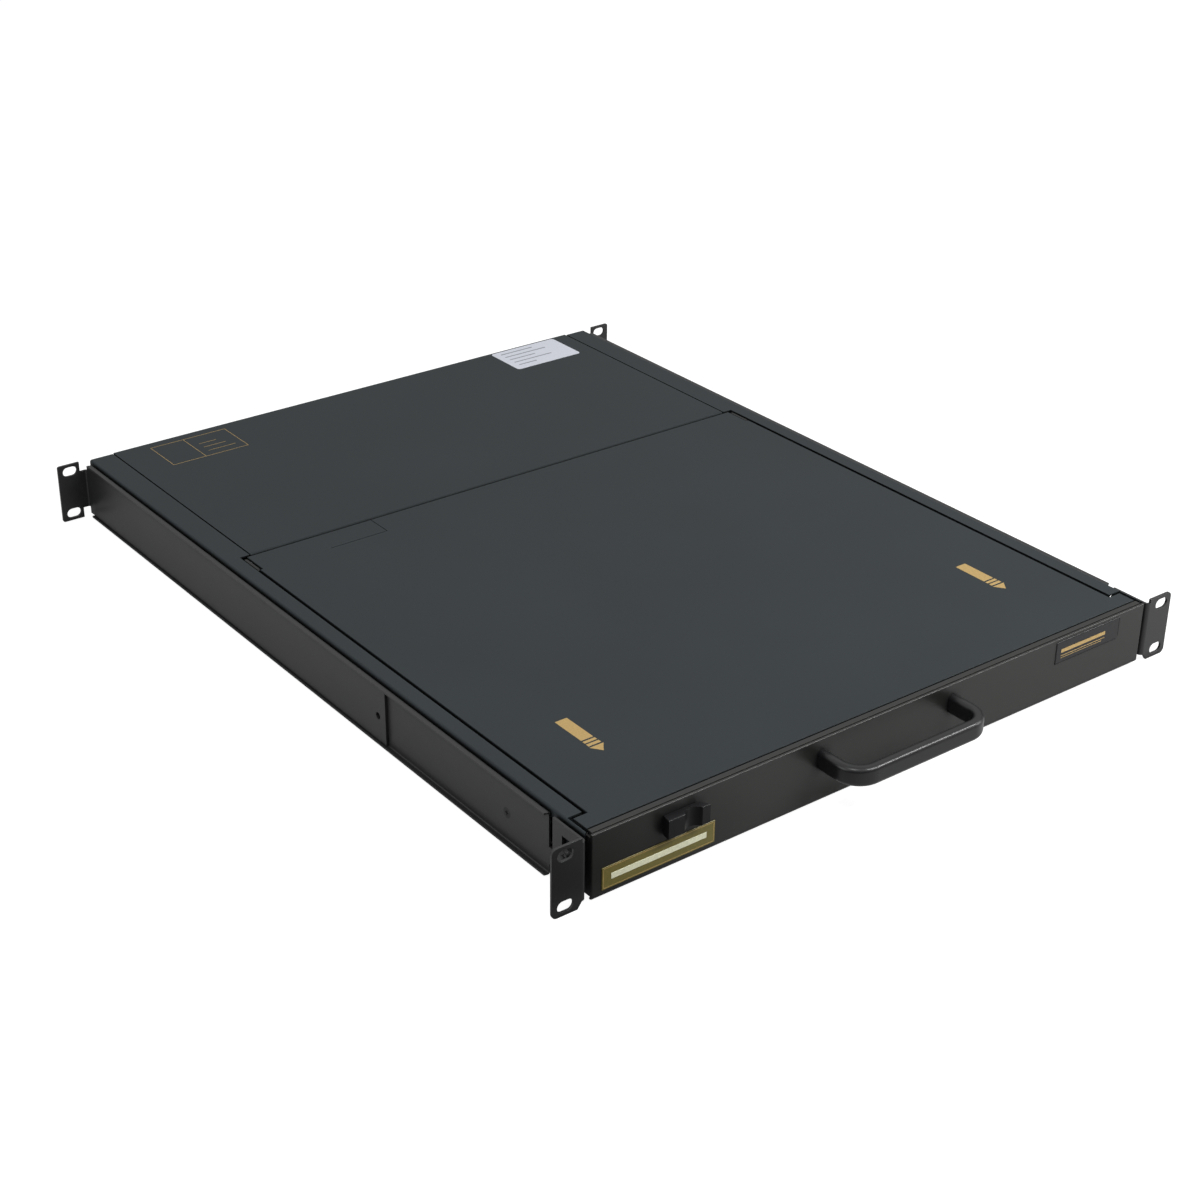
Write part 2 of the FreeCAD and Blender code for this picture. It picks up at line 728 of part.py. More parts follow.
# ---------------------------------------------------------------- drawer body
def side_frame():
    """Side web with the top strip over the slide, and the ledge under the rear cover."""
    foot_z = pan_top_z + side_sheet
    outline = [(strip_edge_x, strip_edge_z), (strip_edge_x, top_z), (web_inner_x, top_z),
               (web_inner_x, foot_z), (web_inner_x - frame_foot, foot_z)]
    body = bent_sheet("Y", panel_sheet, rear_panel_y, outline, side_sheet, sheet_bend)
    under_top = top_z - side_sheet
    # the flat strip is welded square over the web's bend
    square = box(web_inner_x, web_inner_x + side_sheet + sheet_bend, panel_sheet, rear_panel_y,
                 under_top, top_z)
    beside_cover = box(cover_half + cover_seam, web_inner_x + side_sheet, cover_front_y, rear_panel_y,
                       top_z - top_sheet, top_z)
    ledge = box(cover_half - ledge_width, web_inner_x + side_sheet / 2,
                wall_y + side_sheet + corner_play, rear_panel_y,
                top_z - top_sheet - ledge_sheet, top_z - top_sheet)
    body = body.fuse([square, beside_cover, ledge])
    strip_notch = box(web_inner_x - 1, strip_edge_x - side_sheet - corner_play, 0, strip_notch_depth,
                      rail_top_z, top_z + 1)
    strip_front = box(strip_edge_x - side_sheet - 1, strip_edge_x + 1, 0, strip_front_y,
                      pan_bottom_z, top_z + 1)
    bend_room = panel_sheet + panel_bend + corner_play
    panel_corner = box(web_inner_x - 1, strip_edge_x, 0, bend_room, panel_top_z - bend_room, top_z)
    foot_corner = box(web_inner_x - frame_foot - 1, web_inner_x, 0,
                      panel_sheet + pan_sheet + sheet_bend + corner_play, pan_bottom_z, foot_z + sheet_bend)
    tab = box(web_inner_x, web_outer_x + frame_tab, panel_sheet, panel_sheet + side_sheet,
              pan_top_z + 2 * side_sheet, panel_top_z - bend_room)
    body = body.cut(Part.makeCompound([strip_notch, strip_front, panel_corner, foot_corner]))
    body = body.fuse(tab).removeSplitter()
    holes = [rod((cover_screw_x, y, under_top - ledge_sheet - 1), (0, 0, 1), cover_screw_d, ledge_sheet + 2)
             for y in cover_screw_ys]
    holes.append(bolt_hole(web_inner_x - 1, web_outer_x + 1))
    return body.cut(Part.makeCompound(holes))


def bottom_pan():
    """Floor sheet with a raised lip behind the front panel and vents under the electronics."""
    outline = [(panel_sheet, pan_lip_top_z), (panel_sheet, pan_bottom_z), (rear_panel_y, pan_bottom_z)]
    body = bent_sheet("X", -web_outer_x, web_outer_x, outline, pan_sheet, sheet_bend)
    cuts = [box(side * (web_inner_x - 1), side * (web_outer_x + 1), 0,
                panel_sheet + pan_sheet + sheet_bend, pan_top_z, 0) for side in (1, -1)]
    first_x = -(vent_columns - 1) * vent_pitch_x / 2
    first_y = cover_front_y + vent_margin
    for row in range(vent_rows):
        for column in range(vent_columns):
            x = first_x + column * vent_pitch_x
            y = first_y + row * vent_pitch_y
            cuts.append(box(x - vent_length / 2, x + vent_length / 2, y - vent_width / 2,
                            y + vent_width / 2, pan_bottom_z - 1, pan_top_z + 1))
    return body.cut(Part.makeCompound(cuts))


def front_panel():
    """Face plate folded back at its bottom and ends, with an angle welded behind its top edge."""
    outline = [(0.0, panel_top_z), (0.0, panel_bottom_z), (panel_bottom_flange, panel_bottom_z)]
    face = bent_sheet("X", -panel_half, panel_half, outline, panel_sheet, panel_bend)
    bend_room = panel_sheet + panel_bend
    angle = box(-lid_lip_half, lid_lip_half, panel_sheet / 2, panel_top_flange,
                panel_top_z - panel_sheet, panel_top_z)
    laps = [box(side * (web_inner_x - frame_tab), side * (panel_half + 1), bend_room,
                panel_bottom_flange + 1, panel_bottom_z - 1, panel_bottom_z + bend_room)
            for side in (1, -1)]
    ends = [box(side * (panel_half - panel_sheet), side * panel_half, panel_sheet / 2, panel_end_flange,
                panel_bottom_z + bend_room, panel_top_z - bend_room) for side in (1, -1)]
    body = face.cut(Part.makeCompound(laps)).fuse(ends + [angle]).removeSplitter()
    outer = edges_along(body, "Z", lambda p: p.y < 0.01 and abs(p.x) > panel_half - 0.01)
    outer += edges_along(body, "X", lambda p: p.y < 0.01 and p.z > panel_top_z - 0.01)
    body = body.makeFillet(panel_edge_round, outer)
    cuts = [rod((x, -1, handle_centre_z), (0, 1, 0), handle_screw_d, panel_sheet + 2)
            for x in handle_leg_xs]
    cuts.append(box(stem_left_x - latch_travel - latch_gap, stem_left_x + stem_length + latch_gap,
                    -1, panel_sheet + 1, stem_bottom_z - latch_gap,
                    stem_bottom_z + stem_height + latch_gap))
    cuts.append(box(-panel_half - 1, panel_half + 1, panel_sheet, panel_sheet + panel_seam,
                    panel_top_z - panel_seam_depth, panel_top_z + 1))
    return body.cut(Part.makeCompound(cuts))


def handle():
    """Bow handle: one rounded section run out of the panel, round two bends and back."""
    left, right = handle_leg_xs
    bar_y = handle_thick / 2 - handle_reach
    turn_r = handle_corner - handle_thick / 2
    turn_y = bar_y + turn_r
    z = handle_centre_z

    def section(centre, across):
        """Rounded rectangle about centre, its thickness along across and its height along Z."""
        side = across * (handle_thick / 2)
        high = Vector(0, 0, handle_high / 2)
        corners = [centre - side, centre - side + high, centre + side + high, centre + side - high,
                   centre - side - high, centre - side]
        return Part.Face(Part.Wire(rounded_run(corners, [handle_round] * 4)))

    run = Vector(right - left - 2 * turn_r, 0, 0)
    solids = [section(Vector(left + turn_r, bar_y, z), Vector(0, 1, 0)).extrude(run)]
    for leg_x, side in ((left, 1), (right, -1)):
        leg_end = section(Vector(leg_x, turn_y, z), Vector(1, 0, 0))
        solids.append(leg_end.extrude(Vector(0, -turn_y, 0)))
        solids.append(leg_end.revolve(Vector(leg_x + side * turn_r, turn_y, z), Vector(0, 0, side), 90))
    screw_cut = [rod((x, 0, z), (0, -1, 0), handle_screw_d, handle_screw_grip + 1) for x in handle_leg_xs]
    return solids[0].fuse(solids[1:]).removeSplitter().cut(Part.makeCompound(screw_cut))


def handle_screws():
    return [headed((x, panel_sheet, handle_centre_z), (0, -1, 0), handle_screw_head_d, handle_screw_d,
                   handle_screw_head, panel_sheet + handle_screw_grip) for x in handle_leg_xs]


# ---------------------------------------------------------------- latch
def latch_knob():
    """Finger slide with a hollow for the fingertip and a ramped right end."""
    high = knob_bottom_z + knob_height
    plan = [(knob_left_x, -latch_gap), (knob_left_x - knob_rake, -knob_reach),
            (knob_right_x, -knob_reach), (knob_right_x - knob_ramp, -latch_gap)]
    body = prism("Z", knob_bottom_z, high, plan)
    scoop_y = knob_scoop_depth - knob_reach - knob_scoop_r
    scoop = rod((knob_left_x + knob_scoop_offset, scoop_y, knob_bottom_z - 1), (0, 0, 1),
                2 * knob_scoop_r, knob_height + 2)
    body = body.cut(scoop)
    body = body.makeFillet(knob_round, edges_along(body, "X", lambda p: p.y < 0.1 - knob_reach))
    stem = box(stem_left_x, stem_left_x + stem_length, -2 * latch_gap, panel_sheet + latch_gap,
               stem_bottom_z, stem_bottom_z + stem_height)
    return body.fuse(stem).removeSplitter()


def latch_bolt():
    """Cranked strip behind the panel: it locks through the side web, the rail and the ear."""
    front = panel_sheet + latch_gap
    pad_right_x = stem_left_x + 2 * stem_length
    points = [(bolt_tip_x, bolt_y), (crank_x, bolt_y), (crank_x, front), (pad_right_x, front)]
    strip = bent_sheet("Z", bolt_bottom_z, bolt_top_z, points, bolt_sheet, sheet_bend)
    pad = box(stem_left_x - stem_length / 2, pad_right_x, front, front + bolt_sheet,
              stem_bottom_z - 1, bolt_top_z)
    return strip.fuse(pad).removeSplitter()


def latch_guide():
    """Two clips on the panel's back that the bolt slides under."""
    clips = []
    low = bolt_bottom_z - latch_gap
    high = bolt_top_z + latch_gap
    back = panel_sheet + bolt_sheet + 2 * latch_gap
    for x in (stem_left_x - clip_offset, crank_x + bolt_sheet + clip_crank_gap):
        block = box(x, x + clip_width, panel_sheet, back + clip_wall, low - clip_wall, high + clip_wall)
        clips.append(block.cut(box(x - 1, x + clip_width + 1, panel_sheet - 1, back, low, high)))
    return clips


# ---------------------------------------------------------------- lid with the screen
def lid_outline(inset):
    """Plan of the lid without its front lip, drawn in by inset."""
    near = lid_front_y + inset
    far = lid_rear_y - inset
    wide = lid_half - inset
    narrow = notch_x - inset
    step = notch_y - inset
    return [(-wide, near), (wide, near), (wide, step), (narrow, step), (narrow, far),
            (-narrow, far), (-narrow, step), (-wide, step)]


def cable_cover_block(gap):
    """Small cover over the hinge cable, grown by gap on its right and front edges."""
    left = cable_cover_x - cable_cover_width / 2
    rear = lid_rear_y - lid_sheet * 0.7
    return box(left, left + cable_cover_width + gap, rear - cable_cover_depth - gap, rear,
               top_z - cable_cover_sheet, top_z + gap)


def lid_cover():
    """Back shell of the screen: a shallow sheet pan with wider lips at its front corners."""
    lip = box(-lid_lip_half, lid_lip_half, lid_front_y, lid_front_y + lid_lip_depth, lid_wall_top, top_z)
    top = prism("Z", lid_wall_top, top_z, lid_outline(0.0)).fuse(lip).removeSplitter()
    rim = [edge for edge in top.Edges if abs(edge.BoundBox.ZMin - top_z) < 1e-6]
    top = top.makeFillet(lid_edge_round, rim)
    walls = prism("Z", bezel_top_z, lid_wall_top, lid_outline(0.0))
    walls = walls.cut(prism("Z", bezel_top_z - 1, lid_wall_top + 1, lid_outline(lid_sheet)))
    body = top.fuse(walls).removeSplitter()
    cuts = [rod((side * (notch_x - lid_sheet - 1), hinge_y, hinge_z), (side, 0, 0), hinge_pin_d + 1,
                lid_sheet + 2) for side in (1, -1)]
    cuts.append(cable_cover_block(cable_cover_gap))
    return body.cut(Part.makeCompound(cuts))




def lcd_bezel():
    """Frame around the picture, with the openings for the three menu buttons."""
    plate = prism("Z", lid_bottom_z, bezel_top_z, lid_outline(0.0))
    half = screen_width / 2 + bezel_overlap
    window = rounded_block("Z", lid_bottom_z - 1, bezel_top_z + 1, -half, half,
                           screen_front_y - bezel_overlap, screen_rear_y + bezel_overlap, window_corner)
    body = plate.cut(window)
    front = edges_along(body, "X", lambda p: p.z < lid_bottom_z + 0.01 and p.y < lid_front_y + 0.01)
    body = body.makeFillet(bezel_round, front)
    holes = [slot("Z", lid_bottom_z - 1, bezel_top_z + 1, (x, menu_y), menu_length + 2 * menu_clearance,
                  menu_width + 2 * menu_clearance) for x in menu_xs]
    return body.cut(Part.makeCompound(holes))


def menu_button(x):
    """Round-ended button with a wider collar behind the bezel."""
    collar_z = bezel_top_z + menu_clearance
    face = slot("Z", lid_bottom_z - menu_proud, collar_z, (x, menu_y), menu_length, menu_width)
    collar = slot("Z", collar_z, collar_z + menu_collar_sheet, (x, menu_y), menu_length + 2 * menu_collar,
                  menu_width + 2 * menu_collar)
    return face.fuse(collar).removeSplitter()


def screen_block(play, low, high):
    """Space of the glass behind the bezel's window, grown by play."""
    reach = bezel_overlap + screen_rebate + play
    half = screen_width / 2 + reach
    return box(-half, half, screen_front_y - reach, screen_rear_y + reach, low, high)


def lcd_module():
    """Metal backed display unit behind the bezel, recessed for the glass."""
    half = screen_width / 2 + module_border_x
    body = rounded_block("Z", bezel_top_z, bezel_top_z + module_thickness, -half, half,
                         screen_front_y - module_border_y, screen_rear_y + module_border_y, module_corner)
    return body.cut(screen_block(screen_play, bezel_top_z - 1, bezel_top_z + screen_thickness))


def hinge_block():
    """Friction block inside the lid, bored for the hinge pin."""
    outer = notch_x - lid_sheet
    inner = outer - hinge_block_length
    half = hinge_block_depth / 2
    body = rounded_block("X", inner, outer, hinge_y - half, hinge_y + half, bezel_top_z, lid_wall_top,
                         hinge_block_round)
    return body.cut(rod((inner - 1, hinge_y, hinge_z), (1, 0, 0), hinge_pin_d + 2 * hinge_running,
                        hinge_block_length + 2))


def hinge_plate_piece():
    """Upright plate in the lid's corner notch, with its thick foot on the side web."""
    outer = hinge_plate_x + hinge_plate
    far_y = lid_rear_y - hinge_plate_rear
    foot_high = lid_bottom_z - hinge_foot_drop
    foot_low = foot_high - hinge_foot_height
    body = rounded_block("X", hinge_plate_x, outer, hinge_plate_front_y, far_y, foot_low,
                         top_z - hinge_plate_rear, hinge_plate_round)
    foot = box(hinge_plate_x, web_inner_x, hinge_plate_front_y + hinge_plate_round,
               far_y - hinge_plate_round, foot_low, foot_high)
    hole = rod((hinge_plate_x - 1, hinge_y, hinge_z), (1, 0, 0), hinge_pin_d, hinge_plate + 2)
    return body.fuse(foot).removeSplitter().cut(hole)


def hinge_pin():
    inner = notch_x - lid_sheet - hinge_block_length
    return rod((inner, hinge_y, hinge_z), (1, 0, 0), hinge_pin_d, hinge_plate_x + hinge_plate - inner)


# ---------------------------------------------------------------- keyboard deck
def row_middle(row):
    return keyboard_rear_y - (row + 0.5) * key_pitch


def key_layout(row):
    """Middle and width of each key of a row, in millimetres."""
    keys = []
    for block, start in zip(key_rows[row], (0.0, letters_span + block_gap)):
        for units in block:
            keys.append((-keyboard_half + (start + units / 2) * key_pitch, units * key_pitch))
            start += units
    return keys


def keycap(x, width, y):
    """Tapered cap on the stem that runs in the keyboard base."""
    half_x = (width - key_gap) / 2
    half_y = (key_pitch - key_gap) / 2
    rings = []
    for z, draft, lean in ((key_under_z, 0.0, 0.0), (key_top_z, key_draft, key_draft / 4)):
        u = half_x - draft
        v = half_y - draft
        rings.append([Vector(x - u, y - v + lean, z), Vector(x + u, y - v + lean, z),
                      Vector(x + u, y + v + lean, z), Vector(x - u, y + v + lean, z)])
    cap = frustum(*rings)
    half = stem_side / 2
    return cap.fuse(box(x - half, x + half, y - half, y + half, key_under_z - stem_drop, key_under_z))


def keyboard_rows():
    """Caps of each row, with the space bar as a node of its own."""
    for row in range(len(key_rows)):
        caps = []
        for x, width in key_layout(row):
            cap = keycap(x, width, row_middle(row))
            if width > 5 * key_pitch:
                add("space_bar", cap)
            else:
                caps.append(cap)
        add("key_row_%d" % (row + 1), *caps)


def keyboard_base():
    """Moulded base with a channel under each row for the stems, and ribs down to the pan."""
    half = keyboard_half + window_margin
    base = box(-half, half, keyboard_front_y - window_margin, keyboard_rear_y + window_margin,
               key_base_under_z, key_base_top_z)
    guide = stem_side / 2 + stem_clearance
    channels = [box(-keyboard_half, keyboard_half, row_middle(row) - guide, row_middle(row) + guide,
                    key_base_under_z + key_base_floor, key_base_top_z + 1) for row in range(len(key_rows))]
    ribs = [box(x - key_base_rib / 2, x + key_base_rib / 2, keyboard_front_y, keyboard_rear_y,
                pan_top_z, key_base_under_z)
            for x in [keyboard_half * share for share in (-0.8, -0.27, 0.27, 0.8)]]
    return base.cut(Part.makeCompound(channels)).fuse(ribs).removeSplitter()


def keyboard_deck():
    """Deck sheet over the whole tray, open for the keys, the touchpad and its buttons."""
    half = web_inner_x - deck_side_gap
    foot_z = pan_top_z + side_sheet
    outline = [(half, foot_z), (half, deck_top_z), (-half, deck_top_z), (-half, foot_z)]
    body = bent_sheet("Y", deck_front_y, deck_rear_y, outline, deck_sheet, sheet_bend)
    margin = window_margin - window_play
    low = deck_under_z - 1
    high = deck_top_z + 1
    openings = [
        rounded_block("Z", low, high, -keyboard_half - margin, keyboard_half + margin,
                      keyboard_front_y - margin, keyboard_rear_y + margin, window_corner),
        rounded_block("Z", low, high, -pad_width / 2, pad_width / 2, pad_front_y, pad_rear_y, pad_corner),
        rounded_block("Z", low, high, -pad_width / 2, pad_width / 2, click_front_y, click_rear_y,
                      click_corner)]
    for side in (1, -1):
        openings.append(box(side * (hinge_plate_x - deck_hinge_gap), side * (half + 1),
                            hinge_plate_front_y - deck_hinge_gap, deck_rear_y + 1, foot_z - 1, high))
    return body.cut(Part.makeCompound(openings))


def touchpad():
    """Pad in its window, on a carrier under the deck that also guides the two buttons."""
    half = pad_width / 2
    pad = rounded_block("Z", deck_under_z, deck_top_z - pad_recess, screen_play - half, half - screen_play,
                        pad_front_y + screen_play, pad_rear_y - screen_play, pad_corner - screen_play)
    carrier = box(-half - pad_rim, half + pad_rim, click_front_y - pad_rim, pad_rear_y + pad_rim,
                  deck_under_z - pad_thickness, deck_under_z)
    well = box(-half, half, click_front_y, click_rear_y, deck_under_z - pad_thickness + click_floor,
               deck_under_z + 1)
    post = box(-pad_post / 2, pad_post / 2, pad_front_y, pad_rear_y, pan_top_z,
               deck_under_z - pad_thickness)
    return carrier.cut(well).fuse([pad, post]).removeSplitter()


def click_button(side):
    """One touchpad button, a flat key with rounded outer corners."""
    low = deck_under_z - pad_thickness + click_floor + click_travel + click_clearance
    body = box(side * click_gap / 2, side * (pad_width / 2 - click_clearance),
               click_front_y + click_clearance, click_rear_y - click_clearance, low,
               deck_top_z + click_proud)
    corners = edges_along(body, "Z", lambda p: abs(p.x) > pad_width / 4)
    return body.makeFillet(click_corner - click_clearance, corners)


def lid_bumpers():
    """Rubber stops on the deck that the closed lid comes down over."""
    length = lid_bottom_z - bumper_gap - deck_top_z
    return [rod((side * (lid_half - bumper_inset), y, deck_top_z), (0, 0, 1), bumper_d, length)
            for side in (1, -1) for y in (lid_front_y + bumper_margin, screen_rear_y)]


# ---------------------------------------------------------------- rear compartment
def partition_wall():
    outline = [(wall_y, top_z - top_sheet), (wall_y, pan_top_z), (wall_y + wall_flange, pan_top_z)]
    half = web_inner_x - wall_end_gap
    wall = bent_sheet("X", -half, half, outline, side_sheet, sheet_bend)
    cable_way = box(cable_cover_x - cable_way_width / 2, cable_cover_x + cable_way_width / 2, wall_y - 1,
                    wall_y + side_sheet + 1, cable_way_bottom_z, cable_way_bottom_z + cable_way_height)
    return wall.cut(cable_way)


def rear_cover():
    """Lid of the electronics bay, with a folded front edge and sunk screw seats."""
    outline = [(rear_face_y, top_z), (cover_front_y, top_z), (cover_front_y, top_z - cover_fold)]
    body = bent_sheet("X", -cover_half, cover_half, outline, top_sheet, sheet_bend)
    cuts = [box(side * (cover_half - ledge_width - corner_play), side * (cover_half + 1),
                cover_front_y - 1, cover_front_y + top_sheet + sheet_bend, top_z - cover_fold - 1,
                top_z - top_sheet) for side in (1, -1)]
    return body.cut(Part.makeCompound(cuts + cover_screws()))


def cover_screws():
    return [countersunk((side * cover_screw_x, y, top_z - cover_screw_sink), (0, 0, -1), cover_screw_head_d,
                        cover_screw_d, top_sheet - cover_screw_sink, cover_screw_length)
            for side in (1, -1) for y in cover_screw_ys]


def through_rear(x, z, width, height):
    """Cut through the rear panel about a connector's middle."""
    return box(x - width / 2, x + width / 2, rear_panel_y - 1, rear_face_y + 1,
               z - height / 2, z + height / 2)


def rear_panel():
    plate = box(-web_outer_x, web_outer_x, rear_panel_y, rear_face_y, pan_bottom_z, top_z - top_sheet)
    cuts = [through_rear(inlet_x, inlet_z, inlet_width, inlet_height),
            through_rear(switch_x, inlet_z, switch_width + 2 * switch_wall,
                         switch_height + 2 * switch_wall),
            through_rear(video_x, port_z, video_shell_w, video_shell_h)]
    cuts += [through_rear(x, port_z, usb_side, usb_side) for x in usb_xs]
    return plate.cut(Part.makeCompound(cuts))




def power_inlet():
    """Appliance inlet and the rocker's housing in one moulding, with keyed cavity and blades."""
    half_w = inlet_width / 2
    half_h = inlet_height / 2
    switch_w = switch_width / 2
    switch_h = switch_height / 2
    back_y = rear_face_y - housing_depth
    pivot_y = rear_panel_y - switch_setback
    flange = rounded_block("Y", rear_face_y, rear_face_y + flange_sheet, inlet_x - half_w - inlet_rim,
                           switch_x + switch_w + inlet_rim, inlet_z - half_h - inlet_rim,
                           inlet_z + half_h + inlet_rim, inlet_rim)
    housing = box(inlet_x - half_w, inlet_x + half_w, back_y, rear_face_y,
                  inlet_z - half_h, inlet_z + half_h)
    case = box(switch_x - switch_w - switch_wall, switch_x + switch_w + switch_wall, back_y, rear_face_y,
               inlet_z - switch_h - switch_wall, inlet_z + switch_h + switch_wall)
    well = box(switch_x - switch_w, switch_x + switch_w, back_y + switch_wall,
               rear_face_y + flange_sheet + 1, inlet_z - switch_h, inlet_z + switch_h)
    sockets = rod((switch_x - switch_w - trunnion_length, pivot_y, inlet_z), (1, 0, 0),
                  trunnion_d + 2 * switch_play, switch_width + 2 * trunnion_length)
    open_w = inlet_cavity_w / 2
    open_h = inlet_cavity_h / 2
    floor_y = rear_face_y + flange_sheet - inlet_depth
    cavity = prism("Y", floor_y, rear_face_y + flange_sheet + 1,
                   [(inlet_x - open_w, inlet_z - open_h), (inlet_x + open_w, inlet_z - open_h),
                    (inlet_x + open_w, inlet_z + open_h - inlet_key),
                    (inlet_x + open_w - inlet_key, inlet_z + open_h),
                    (inlet_x - open_w + inlet_key, inlet_z + open_h),
                    (inlet_x - open_w, inlet_z + open_h - inlet_key)])
    blades = [box(x - blade_width / 2, x + blade_width / 2, floor_y - 0.5, floor_y + blade_length,
                  z - blade_height / 2, z + blade_height / 2)
              for x, z in ((inlet_x - blade_spread, inlet_z), (inlet_x + blade_spread, inlet_z),
                           (inlet_x, inlet_z + blade_height))]
    solid = flange.fuse([housing, case]).cut(Part.makeCompound([cavity, well, sockets]))
    return solid.fuse(blades).removeSplitter()


def power_switch():
    """Rocker with two sloping faces and its trunnions."""
    half_w = switch_width / 2 - switch_play
    half_h = switch_height / 2 - 4 * switch_play
    pivot_y = rear_panel_y - switch_setback
    face = rear_face_y + flange_sheet
    points = [(pivot_y - 4.0, inlet_z), (rear_panel_y - 1.5, inlet_z + 1.0 - half_h),
              (face + 1.3, inlet_z - half_h), (face + 0.4, inlet_z),
              (face - 0.6, inlet_z + half_h), (rear_panel_y - 3.0, inlet_z - 0.5 + half_h)]
    body = prism("X", switch_x - half_w, switch_x + half_w, points)
    reach = half_w + trunnion_length
    pin = rod((switch_x - reach, pivot_y, inlet_z), (1, 0, 0), trunnion_d, 2 * reach)
    return body.fuse(pin).removeSplitter()


def hexagon(axis, start, end, u, v, flats):
    """Six-sided post about (u, v), measured across its flats."""
    r = flats / math.sqrt(3)
    corners = [(u + r * math.cos(math.radians(60 * i)), v + r * math.sin(math.radians(60 * i)))
               for i in range(6)]
    return prism(axis, start, end, corners)


def video_socket():
    """Fifteen-way socket: a keyed shell standing out of the panel, with two hexagonal posts."""
    tip_y = rear_face_y + video_reach

    def keyed(wall, y0, y1):
        half_w = video_shell_w / 2 - wall
        half_h = video_shell_h / 2 - wall
        return prism("Y", y0, y1, [(video_x - half_w, port_z + half_h), (video_x + half_w, port_z + half_h),
                                   (video_x + half_w - video_slope, port_z - half_h),
                                   (video_x - half_w + video_slope, port_z - half_h)])

    shell = keyed(0.0, rear_panel_y - video_reach, tip_y)
    flange = rounded_block("Y", rear_face_y, rear_face_y + video_flange_sheet,
                           video_x - video_flange_w / 2, video_x + video_flange_w / 2,
                           port_z - video_flange_h / 2, port_z + video_flange_h / 2, window_corner)
    posts = [hexagon("Y", rear_face_y, rear_face_y + video_post_length, video_x + side * video_post_spread,
                     port_z, video_post) for side in (1, -1)]
    recess = keyed(video_wall, tip_y - 1.0, tip_y + 1)
    return shell.fuse([flange] + posts).removeSplitter().cut(recess)


def usb_socket(x):
    """Square data socket with its tongue."""
    half = usb_side / 2
    mouth_half = half - usb_wall
    floor_y = rear_face_y - usb_depth
    front_y = rear_face_y + video_flange_sheet
    shell = box(x - half, x + half, floor_y - usb_wall, front_y, port_z - half, port_z + half)
    mouth = prism("Y", floor_y, front_y + 1,
                  [(x - mouth_half, port_z - mouth_half), (x + mouth_half, port_z - mouth_half),
                   (x + mouth_half, port_z + mouth_half / 2), (x + mouth_half / 2, port_z + mouth_half),
                   (x - mouth_half / 2, port_z + mouth_half), (x - mouth_half, port_z + mouth_half / 2)])
    tongue = box(x - mouth_half * 0.6, x + mouth_half * 0.6, floor_y - 0.5, front_y - usb_wall,
                 port_z - mouth_half * 0.3, port_z + mouth_half * 0.3)
    return shell.cut(mouth).fuse(tongue).removeSplitter()


def board(left, width, front, depth, blocks, cans):
    """Circuit board on four standoffs. Components are placed from its front left corner."""
    under = pan_top_z + board_standoff
    top = under + board_sheet
    body = box(left, left + width, front, front + depth, under, top)
    extras = [box(left + x, left + x + w, front + y, front + y + d, top, top + h)
              for x, y, w, d, h in blocks]
    extras += [rod((left + x, front + y, top), (0, 0, 1), d, h) for x, y, d, h in cans]
    extras += [hexagon("Z", pan_top_z, under, x, y, standoff_flats)
               for x in (left + standoff_inset, left + width - standoff_inset)
               for y in (front + standoff_inset, front + depth - standoff_inset)]
    return body.fuse(extras).removeSplitter()


def power_supply():
    """Supply board: a finned heat sink, the transformer and three capacitors."""
    fins = range(5)
    span = fins[-1] * fin_pitch + fin_sheet
    sink = [(sink_x, sink_y, span, sink_back, sink_height)]
    sink += [(sink_x + i * fin_pitch, sink_y + sink_back, fin_sheet, fin_length, sink_height) for i in fins]
    transformer = [(50.0, 50.0, 34.0, 30.0, 20.0)]
    capacitors = [(20.0, 25.0, 18.0, 22.0), (95.0, 30.0, 10.0, 18.0), (95.0, 45.0, 10.0, 18.0)]
    return board(supply_x, supply_width, wall_y + supply_margin, supply_depth,
                 sink + transformer, capacitors)


def main_board():
    """Controller board: two processors, a memory strip, two connectors and two capacitors."""
    chips = [(60.0, 55.0, 28.0, 28.0, 2.2), (120.0, 45.0, 22.0, 22.0, 2.2), (100.0, 95.0, 14.0, 20.0, 1.6)]
    connectors = [(170.0, 25.0, 12.0, 30.0, 6.0), (10.0, 15.0, 10.0, 40.0, 8.0)]
    capacitors = [(40.0, 35.0, 8.0, 9.0), (52.0, 35.0, 8.0, 9.0)]
    return board(main_x, main_width, wall_y + main_margin, main_depth, chips + connectors, capacitors)


